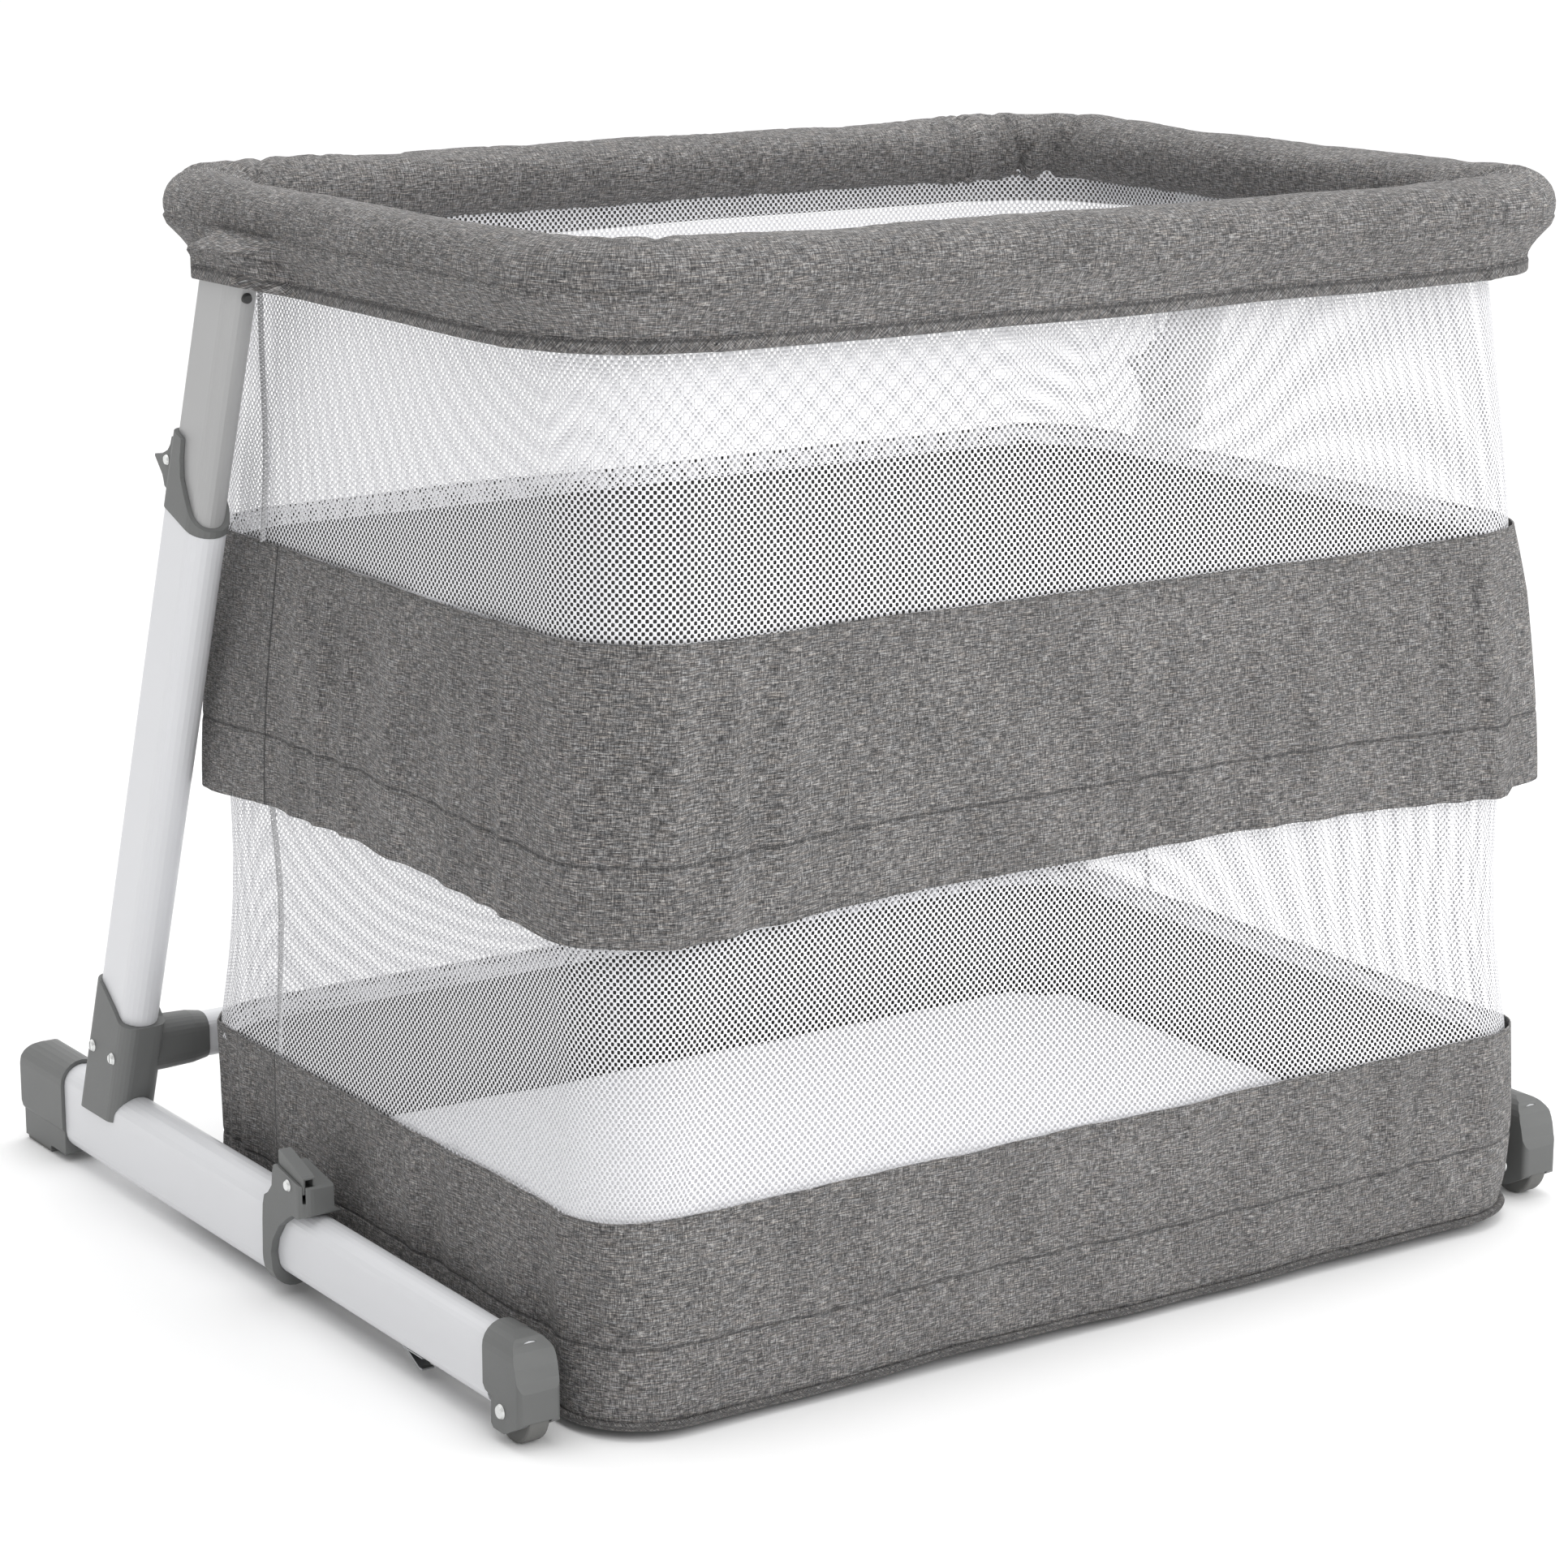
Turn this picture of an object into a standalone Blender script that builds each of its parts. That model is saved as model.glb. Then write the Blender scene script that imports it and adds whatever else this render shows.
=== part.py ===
"""Travel play yard: a padded rim on two leaning telescopic legs, a fabric basket and two long feet.

Metres, +Z up, +X along the long side, +Y towards the legs. The overall box is centred on the origin and
stands on z = 0. The basket hangs from the rim; its floor board rests on the ground on four glides.
"""

import math

import bmesh
import bpy
from mathutils import Matrix, Vector

# ---- basket -------------------------------------------------------------------------------------------
BASKET_Y = -0.1034          # middle of the floor, front to back
FLOOR_HALF = (0.4426, 0.3273)   # outside of the base band
FLOOR_CORNER = 0.066
BAND_TOP = 0.160
BAND_THICK = 0.0026
PIPING_R = 0.003
GLIDE_H, GLIDE_R = 0.0095, 0.016
BOARD_THICK = 0.006
MATTRESS_HALF = (0.4280, 0.3120)
MATTRESS_THICK = 0.034
NET_HALF = (0.4366, 0.3200)
NET_CORNER = 0.090
NET_THICK = 0.0016
MID_BAND_Z = (0.372, 0.574)
MID_BAND_HALF = (0.4545, 0.3360)
MID_BAND_TOP_HALF = (0.4400, 0.3230)
NET_TOP = 0.7920

# ---- rim ----------------------------------------------------------------------------------------------
RIM_Y = -0.0918
RIM_HALF = (0.4363, 0.3232)     # centreline of the steel rim tube
RIM_CORNER = 0.088
RIM_Z = 0.824
RIM_TUBE_R = 0.0125
PAD_HALF_W, PAD_HALF_H = 0.0336, 0.0270
PAD_SLOT = 0.0170
VALANCE_THICK = 0.0026
VALANCE_BOTTOM = 0.7725
VALANCE_BULGE = 0.0362          # how far the valance stands out round a leg

# ---- legs ---------------------------------------------------------------------------------------------
LEG_X = 0.4785
LEG_Y0 = 0.3202                 # where the leg's axis would meet the floor
LEG_LEAN = math.radians(20.0)
LEG_HALF = (0.0165, 0.0293)     # half width across, half depth front to back
LEG_REAR_R = 0.0060             # rounding of the leg's two rear edges; the front is a half circle
LEG_WALL = 0.0016
UPPER_HALF = (0.0135, 0.0263)
UPPER_WALL = 0.0014
LEG_FOOT_S, LEG_TOP_S = 0.1060, 0.6280
UPPER_FOOT_S, UPPER_TOP_S = 0.3800, 0.8400
PIN_DROP = 0.0095               # from the head of the upper tube down to its pin
COLLAR_LOW_S, COLLAR_HIGH_S = 0.6290, 0.6940
KNUCKLE_WALL = 0.0035
KNUCKLE_BOTTOM = 0.0622
SCREW_YZ = ((0.2960, 0.1225), (0.2590, 0.1205))
GAP = 0.0003
VALANCE_LEG_Y = LEG_Y0 - math.tan(LEG_LEAN) * 0.790

# ---- feet ---------------------------------------------------------------------------------------------
FOOT_X = 0.4785
FOOT_Z = 0.0480
FOOT_HALF = (0.0170, 0.0370)    # half width, half height of the outer tube
FOOT_WALL = 0.0018
INNER_HALF = (0.0135, 0.0300)
INNER_Y = (-0.3820, 0.1000)
FOOT_TUBE_Y = (-0.0200, 0.4180)
REAR_CAP_Y = (0.3645, 0.4486)
FRONT_CAP_Y = (-0.3964, -0.3447)
FRONT_CAP_HALF = 0.0175
LEAF_Y = -0.2330
WHEEL_Y, WHEEL_R, WHEEL_W = -0.3700, 0.0250, 0.0170
CROSSBAR_Y, CROSSBAR_Z = 0.2626, 0.1270
CROSSBAR_HALF = (0.0130, 0.0185)
CROSSBAR_R = 0.0100
SOCKET_END_X = 0.4150

# ---- latches ------------------------------------------------------------------------------------------
LATCH_PIVOT = (0.1381, 0.6338)  # y and z of the leg latch's rivet
LEVER_PIVOT = (-0.0528, 0.1017)  # y and z of the foot lever's screw
LATCH_W, LEVER_W = 0.0110, 0.0100
CHEEK = 0.0020                  # thickness of the clamp's cheek outside the lever
HOOD_W = 0.0270                 # the clamp's lever housing, from its outer cheek inwards
PIVOT_R = 0.0022
PIVOT_PLAY = 0.00006

ROUND = 6                       # segments in a quarter turn


# ---- scene set-up -------------------------------------------------------------------------------------
for old in list(bpy.data.objects):
    bpy.data.objects.remove(old)
YARD = bpy.data.collections.new("play_yard")
HELPERS = bpy.data.collections.new("cutters")
for group in (YARD, HELPERS):
    bpy.context.scene.collection.children.link(group)
HELPERS.hide_render = True

PALETTE = {
    "white_paint": ((0.80, 0.80, 0.82), 0.30, 0.0),
    "silver_paint": ((0.56, 0.56, 0.56), 0.38, 0.4),
    "grey_plastic": ((0.16, 0.165, 0.16), 0.48, 0.0),
    "dark_plastic": ((0.045, 0.045, 0.045), 0.60, 0.0),
    "grey_rubber": ((0.12, 0.12, 0.115), 0.75, 0.0),
    "zinc": ((0.72, 0.73, 0.72), 0.30, 1.0),
    "steel": ((0.42, 0.43, 0.44), 0.35, 1.0),
    "grey_fabric": ((0.155, 0.155, 0.155), 0.95, 0.0),
    "white_net": ((0.86, 0.86, 0.88), 0.90, 0.0),
    "mattress_cover": ((0.70, 0.70, 0.78), 0.90, 0.0),
    "fibreboard": ((0.42, 0.29, 0.17), 0.80, 0.0),
}
MATERIALS = {}
for mat_name, (colour, rough, metal) in PALETTE.items():
    made = bpy.data.materials.new(mat_name)
    made.use_nodes = True
    shader = made.node_tree.nodes["Principled BSDF"]
    shader.inputs["Base Color"].default_value = (*colour, 1.0)
    shader.inputs["Roughness"].default_value = rough
    shader.inputs["Metallic"].default_value = metal
    made.diffuse_color = (*colour, 1.0)
    MATERIALS[mat_name] = made


# ---- profiles -----------------------------------------------------------------------------------------
def stadium(half_w, half_d, steps=ROUND):
    """Flat-sided oval, its long way along the second axis, counter-clockwise."""
    straight = half_d - half_w
    points = []
    for centre, start in ((straight, 0.0), (-straight, math.pi)):
        for i in range(2 * steps + 1):
            a = start + math.pi * i / (2 * steps)
            points.append((half_w * math.cos(a), centre + half_w * math.sin(a)))
    return points


def leg_section(half_w, half_d, rear_r, front_r, steps=ROUND):
    """Flat-sided section: rear_r at its two rear corners, front_r at the front ones; the back is +Y."""
    points = []
    for sx, sy, radius, start in ((1, 1, rear_r, 0), (-1, 1, rear_r, 90), (-1, -1, front_r, 180),
                                  (1, -1, front_r, 270)):
        for i in range(steps + 1):
            a = math.radians(start + 90 * i / steps)
            points.append((sx * (half_w - radius) + radius * math.cos(a),
                           sy * (half_d - radius) + radius * math.sin(a)))
    tidy = [points[0]]
    for point in points[1:]:
        if math.dist(point, tidy[-1]) > 1e-5:
            tidy.append(point)
    return tidy


def rounded_rect(half_x, half_y, radius, steps=ROUND):
    points = []
    for sx, sy, start in ((1, 1, 0), (-1, 1, 90), (-1, -1, 180), (1, -1, 270)):
        for i in range(steps + 1):
            a = math.radians(start + 90 * i / steps)
            points.append((sx * (half_x - radius) + radius * math.cos(a),
                           sy * (half_y - radius) + radius * math.sin(a)))
    return points


# ---- builders -----------------------------------------------------------------------------------------
def place(name, mesh, material, home=YARD, smooth=True):
    obj = bpy.data.objects.new(name, mesh)
    home.objects.link(obj)
    mesh.materials.clear()
    mesh.materials.append(MATERIALS[material])
    for face in mesh.polygons:
        face.use_smooth = smooth
    if home is HELPERS:
        obj.hide_render = True
        obj.display_type = "WIRE"
    return obj


def extruded(name, outlines, depth, matrix, material, home=YARD):
    """Solid from flat closed outlines (the first outside, others as holes), drawn in XY and grown along
    local Z from 0 to depth, then placed by matrix."""
    curve = bpy.data.curves.new(name, "CURVE")
    curve.dimensions = "2D"
    curve.fill_mode = "BOTH"
    curve.extrude = depth / 2
    for outline in outlines:
        spline = curve.splines.new("POLY")
        spline.points.add(len(outline) - 1)
        for point, (u, v) in zip(spline.points, outline):
            point.co = (u, v, 0, 1)
        spline.use_cyclic_u = True
    holder = bpy.data.objects.new(name + "_outline", curve)
    HELPERS.objects.link(holder)
    bpy.context.view_layer.update()
    graph = bpy.context.evaluated_depsgraph_get()
    mesh = bpy.data.meshes.new_from_object(holder.evaluated_get(graph))
    bpy.data.objects.remove(holder)
    bm = bmesh.new()
    bm.from_mesh(mesh)
    bmesh.ops.remove_doubles(bm, verts=bm.verts, dist=1e-6)
    bmesh.ops.translate(bm, verts=bm.verts, vec=(0, 0, depth / 2))
    bmesh.ops.transform(bm, matrix=matrix, verts=bm.verts)
    bmesh.ops.recalc_face_normals(bm, faces=bm.faces)
    bm.to_mesh(mesh)
    bm.free()
    return place(name, mesh, material, home)


def lofted(name, rings, material, closed=False, home=YARD):
    """Skin through rings of equal length; ends are capped unless the loft closes on itself."""
    bm = bmesh.new()
    rows = [[bm.verts.new(p) for p in ring] for ring in rings]
    pairs = list(zip(rows, rows[1:] + rows[:1])) if closed else list(zip(rows, rows[1:]))
    count = len(rows[0])
    for low, high in pairs:
        for i in range(count):
            j = (i + 1) % count
            bm.faces.new((low[i], low[j], high[j], high[i]))
    if not closed:
        bm.faces.new(list(reversed(rows[0])))
        bm.faces.new(rows[-1])
    bmesh.ops.recalc_face_normals(bm, faces=bm.faces)
    mesh = bpy.data.meshes.new(name)
    bm.to_mesh(mesh)
    bm.free()
    return place(name, mesh, material, home)


def cylinder(name, radius, start, end, material, home=YARD, steps=20, taper=None):
    start, end = Vector(start), Vector(end)
    bm = bmesh.new()
    bmesh.ops.create_cone(bm, cap_ends=True, segments=steps, radius1=radius,
                          radius2=radius if taper is None else taper, depth=(end - start).length)
    turn = (end - start).to_track_quat("Z", "Y").to_matrix().to_4x4()
    bmesh.ops.transform(bm, matrix=Matrix.Translation((start + end) / 2) @ turn, verts=bm.verts)
    mesh = bpy.data.meshes.new(name)
    bm.to_mesh(mesh)
    bm.free()
    return place(name, mesh, material, home)


def box(name, low, high, material, bevel=0.0, segments=3, home=YARD):
    bm = bmesh.new()
    size = [b - a for a, b in zip(low, high)]
    middle = [(a + b) / 2 for a, b in zip(low, high)]
    bmesh.ops.create_cube(bm, size=1.0)
    bmesh.ops.scale(bm, vec=size, verts=bm.verts)
    bmesh.ops.translate(bm, vec=middle, verts=bm.verts)
    if bevel:
        bmesh.ops.bevel(bm, geom=bm.edges[:], offset=bevel, segments=segments, affect="EDGES", profile=0.5)
    mesh = bpy.data.meshes.new(name)
    bm.to_mesh(mesh)
    bm.free()
    return place(name, mesh, material, home)


def merge(obj, tool, operation):
    mod = obj.modifiers.new(operation.lower(), "BOOLEAN")
    mod.operation = operation
    mod.solver = "EXACT"
    mod.object = tool
    bpy.context.view_layer.update()
    graph = bpy.context.evaluated_depsgraph_get()
    mesh = bpy.data.meshes.new_from_object(obj.evaluated_get(graph))
    obj.modifiers.clear()
    obj.data = mesh
    bm = bmesh.new()
    bm.from_mesh(mesh)
    bmesh.ops.remove_doubles(bm, verts=bm.verts, dist=2e-6)
    bmesh.ops.dissolve_degenerate(bm, edges=bm.edges, dist=1e-6)
    bm.to_mesh(mesh)
    bm.free()
    bpy.data.objects.remove(tool)
    return obj


def cut(obj, tool):
    return merge(obj, tool, "DIFFERENCE")


def join(obj, tool):
    return merge(obj, tool, "UNION")


def smooth_by_angle(obj, degrees=35):
    mesh = obj.data
    mesh.set_sharp_from_angle(angle=math.radians(degrees))


def pivot_at(obj, point):
    """Puts the object's origin on a point without moving its shape."""
    obj.data.transform(Matrix.Translation(-Vector(point)))
    obj.location = point


def ring_wall(name, z_low, z_high, low_half, high_half, corner, thick, material, centre_y, levels=1):
    """Upright closed fabric wall: a thin ring whose plan grows from low_half to high_half."""
    rings = []
    for skin, order in ((0.0, range(levels + 1)), (thick, reversed(range(levels + 1)))):
        for k in order:
            t = k / levels
            hx = low_half[0] + (high_half[0] - low_half[0]) * t - skin
            hy = low_half[1] + (high_half[1] - low_half[1]) * t - skin
            z = z_low + (z_high - z_low) * t
            rings.append([(x, y + centre_y, z) for x, y in rounded_rect(hx, hy, corner - skin)])
    return lofted(name, rings, material, closed=True)


def along_y(y):
    """Frame for an outline drawn as (across, up) and grown along +Y from y."""
    return Matrix.Translation((0, y, 0)) @ Matrix(((1, 0, 0, 0), (0, 0, 1, 0), (0, 1, 0, 0), (0, 0, 0, 1)))


def along_x(x):
    """Frame for an outline drawn as (y, z) and grown along X from x."""
    return Matrix.Translation((x, 0, 0)) @ Matrix(((0, 0, 1, 0), (1, 0, 0, 0), (0, 1, 0, 0), (0, 0, 0, 1)))


UPPER_GROW = UPPER_HALF[0] - LEG_HALF[0]
LEG_AXIS = Vector((0, -math.sin(LEG_LEAN), math.cos(LEG_LEAN)))
LEG_BACK = Vector((0, math.cos(LEG_LEAN), math.sin(LEG_LEAN)))


def leg_frame(side, s):
    """Local Z up the leg, local X across, local Y towards the back of the leg."""
    origin = Vector((side * LEG_X, LEG_Y0, 0)) + LEG_AXIS * s
    frame = Matrix((Vector((1, 0, 0)), LEG_BACK, LEG_AXIS)).transposed().to_4x4()
    return Matrix.Translation(origin) @ frame


def leg_outline(grow, front_r=None):
    """The outer leg tube's section, grown all round; front_r sharpens its front corners."""
    half = grown(LEG_HALF, grow)
    return leg_section(*half, max(0.0012, LEG_REAR_R + grow), front_r or half[0])


def leg_piece(name, grow, low, high, side, material, hole=None, home=YARD, front_r=None):
    outlines = [leg_outline(grow, front_r)] + ([leg_outline(hole)] if hole is not None else [])
    return extruded(name, outlines, high - low, leg_frame(side, low), material, home)


def foot_piece(name, half, y_low, y_high, side, material, hole=None, home=YARD):
    def shifted(pair):
        return [(side * FOOT_X + u, FOOT_Z + v) for u, v in stadium(*pair)]
    outlines = [shifted(half)] + ([shifted(hole)] if hole else [])
    return extruded(name, outlines, y_high - y_low, along_y(y_low), material, home)


def grown(half, by):
    return (half[0] + by, half[1] + by)


# ---- basket -------------------------------------------------------------------------------------------
def build_basket():
    board_half = [h - BAND_THICK - 0.004 for h in FLOOR_HALF]
    plan = [(x, y + BASKET_Y) for x, y in rounded_rect(*board_half, FLOOR_CORNER - 0.006)]
    extruded("base_board", [plan], BOARD_THICK, Matrix.Translation((0, 0, GLIDE_H + GAP)), "fibreboard")
    for number, (sx, sy) in enumerate(((-1, -1), (1, -1), (1, 1), (-1, 1)), 1):
        x, y = sx * 0.30, BASKET_Y + sy * 0.22
        cylinder(f"base_glide_{number}", GLIDE_R * 0.86, (x, y, 0), (x, y, GLIDE_H), "dark_plastic",
                 taper=GLIDE_R)
    top = GLIDE_H + GAP + BOARD_THICK + GAP
    rings = []
    for inset, z in ((0.006, 0.0), (0.0, 0.005), (0.0, MATTRESS_THICK - 0.008), (0.007, MATTRESS_THICK)):
        rings.append([(x, y + BASKET_Y, top + z) for x, y in
                      rounded_rect(MATTRESS_HALF[0] - inset, MATTRESS_HALF[1] - inset, 0.060 - inset)])
    lofted("mattress", rings, "mattress_cover")

    piping_z = 0.0062 + PIPING_R
    ring_wall("base_band", piping_z + PIPING_R + GAP, BAND_TOP, FLOOR_HALF, FLOOR_HALF, FLOOR_CORNER,
              BAND_THICK, "grey_fabric", BASKET_Y)
    line = [(x, y + BASKET_Y, piping_z) for x, y in
            rounded_rect(FLOOR_HALF[0] - 0.001, FLOOR_HALF[1] - 0.001, FLOOR_CORNER - 0.001)]
    curve = bpy.data.curves.new("base_piping", "CURVE")
    curve.dimensions = "3D"
    curve.bevel_depth = PIPING_R
    curve.bevel_resolution = 2
    spline = curve.splines.new("POLY")
    spline.points.add(len(line) - 1)
    for point, co in zip(spline.points, line):
        point.co = (*co, 1)
    spline.use_cyclic_u = True
    piping = bpy.data.objects.new("base_piping", curve)
    YARD.objects.link(piping)
    curve.materials.append(MATERIALS["grey_fabric"])

    ring_wall("lower_net", BAND_TOP + GAP, MID_BAND_Z[0] - GAP, [h - 0.003 for h in FLOOR_HALF], NET_HALF,
              FLOOR_CORNER + 0.010, NET_THICK, "white_net", BASKET_Y, levels=2)
    ring_wall("mid_band", MID_BAND_Z[0], MID_BAND_Z[1], MID_BAND_HALF, MID_BAND_TOP_HALF, NET_CORNER,
              BAND_THICK, "grey_fabric", BASKET_Y, levels=2)
    rings = []
    steps = 3
    for skin, order in ((0.0, range(steps + 1)), (NET_THICK, reversed(range(steps + 1)))):
        for k in order:
            t = k / steps
            hx = NET_HALF[0] + (RIM_HALF[0] - 0.0155 - NET_HALF[0]) * t - skin
            hy = NET_HALF[1] + (RIM_HALF[1] - 0.0155 - NET_HALF[1]) * t - skin
            y0 = BASKET_Y + (RIM_Y - BASKET_Y) * t
            z = MID_BAND_Z[1] + GAP + (NET_TOP - MID_BAND_Z[1] - GAP) * t
            rings.append([(x, y + y0, z) for x, y in rounded_rect(hx, hy, 0.080 - skin)])
    lofted("upper_net", rings, "white_net", closed=True)


# ---- rim ----------------------------------------------------------------------------------------------
def rim_sweep(name, section, material, bulge=None):
    """Carries a closed section (out, up) round the rim's rounded rectangle."""
    rings = []
    plan_steps = 7
    for out, up in section:
        half = (RIM_HALF[0] + out, RIM_HALF[1] + out)
        ring = []
        for x, y in rim_plan(*half, RIM_CORNER + out, plan_steps, bulge is not None):
            push = bulge(x, y + RIM_Y, up) if bulge else 0.0
            ring.append((x + math.copysign(push, x), y + RIM_Y, RIM_Z + up))
        rings.append(ring)
    return lofted(name, rings, material, closed=True)


def rim_plan(half_x, half_y, radius, steps, by_leg):
    """A rounded rectangle with extra points on its short sides, where the valance passes the legs."""
    points = []
    extra = [VALANCE_LEG_Y - RIM_Y + 0.012 * k for k in range(-9, 10)]
    for sx, sy, start in ((1, 1, 0), (-1, 1, 90), (-1, -1, 180), (1, -1, 270)):
        for i in range(steps + 1):
            a = math.radians(start + 90 * i / steps)
            points.append((sx * (half_x - radius) + radius * math.cos(a),
                           sy * (half_y - radius) + radius * math.sin(a)))
        if (sx, sy) == (-1, 1) and by_leg:
            points += [(-half_x, y) for y in reversed(extra) if abs(y) < half_y - radius - 0.004]
        if (sx, sy) == (1, -1) and by_leg:
            points += [(half_x, y) for y in extra if abs(y) < half_y - radius - 0.004]
    return points


def valance_bulge(x, y, up):
    """The valance swells outwards over the head of each leg."""
    reach = min(1.0, max(0.0, (-up - 0.0135) / 0.0085))
    if abs(x) < RIM_HALF[0] - 0.02:
        return 0.0
    across = max(0.0, abs(y - VALANCE_LEG_Y) - 0.036) / 0.050
    return VALANCE_BULGE * reach * math.exp(-across * across * 2.5)


def build_rim():
    tube = [(RIM_TUBE_R * math.cos(2 * math.pi * i / 12), RIM_TUBE_R * math.sin(2 * math.pi * i / 12))
            for i in range(12)]
    rim_sweep("rim_tube", tube, "steel")
    # Foam in its cover: an oval sleeve slit along the bottom, where it was pushed over the tube.
    half_slot = math.asin(PAD_SLOT / 2 / PAD_HALF_H)
    outer, inner = [], []
    turns = 16
    for i in range(turns + 1):
        a = -math.pi / 2 + half_slot + (2 * math.pi - 2 * half_slot) * i / turns
        outer.append((PAD_HALF_W * math.cos(a), PAD_HALF_H * math.sin(a)))
    inner_r = RIM_TUBE_R + 0.0009
    inner_slot = math.asin(PAD_SLOT / 2 / inner_r)
    for i in range(11):
        a = -math.pi / 2 + inner_slot + (2 * math.pi - 2 * inner_slot) * i / 10
        inner.append((inner_r * math.cos(a), inner_r * math.sin(a)))
    rim_sweep("rim_pad", outer + inner[::-1], "grey_fabric")

    # The valance hangs from the pad's outer quarter.
    drop = VALANCE_BOTTOM - RIM_Z
    line = []
    for i in range(4):
        a = math.radians(-32 - 20 * i / 3)
        line.append(((PAD_HALF_W + GAP) * math.cos(a), (PAD_HALF_H + GAP) * math.sin(a)))
    line += [(0.0222, -0.0300), (0.0218, -0.0390), (0.0216, drop)]
    outside = []
    for out, up in line:
        lean = 1.0 if up < -0.028 else 0.75
        outside.append((out + VALANCE_THICK * lean, up - (0.0 if up < -0.028 else VALANCE_THICK * 0.65)))
    rim_sweep("rim_valance", line + outside[::-1], "grey_fabric", bulge=valance_bulge)

    for side, letter in ((-1, "L"), (1, "R")):
        leg_piece(f"upper_tube_{letter}", UPPER_GROW, UPPER_FOOT_S, UPPER_TOP_S, side, "silver_paint",
                  hole=UPPER_GROW - UPPER_WALL)
        head = leg_frame(side, UPPER_TOP_S) @ Vector((0, 0, 0))
        plug = leg_piece(f"rim_bracket_{letter}", UPPER_GROW - 0.0018, UPPER_TOP_S - 0.045,
                         UPPER_TOP_S - 0.002, side, "steel")
        arm = box("arm", (min(side * 0.428, side * 0.486), head.y - 0.016, head.z - 0.012),
                  (max(side * 0.428, side * 0.486), head.y + 0.016, head.z - 0.0035), "steel",
                  home=HELPERS)
        join(plug, arm)
        web_x = side * RIM_HALF[0]
        web = box("web", (web_x - 0.0060, head.y - 0.015, head.z - 0.011),
                  (web_x + 0.0060, head.y + 0.015, RIM_Z - RIM_TUBE_R + 0.003), "steel", home=HELPERS)
        join(plug, web)
        cut(plug, cylinder("seat", RIM_TUBE_R + GAP, (web_x, head.y - 0.05, RIM_Z),
                           (web_x, head.y + 0.05, RIM_Z), "steel", home=HELPERS, steps=32))
        slot_x = sorted((side * 0.42, side * LEG_X))
        slot = box("slot", (slot_x[0], head.y - 0.0169, head.z - 0.0127),
                   (slot_x[1], head.y + 0.0164, head.z + 0.0200), "steel", home=HELPERS)
        cut(bpy.data.objects[f"upper_tube_{letter}"], slot)
        front = leg_frame(side, UPPER_TOP_S - PIN_DROP)
        cylinder(f"leg_pin_{letter}", 0.0042, front @ Vector((0, -UPPER_HALF[1] - GAP, 0)),
                 front @ Vector((0, -UPPER_HALF[1] - 0.0030, 0)), "dark_plastic", taper=0.0034)


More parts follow.
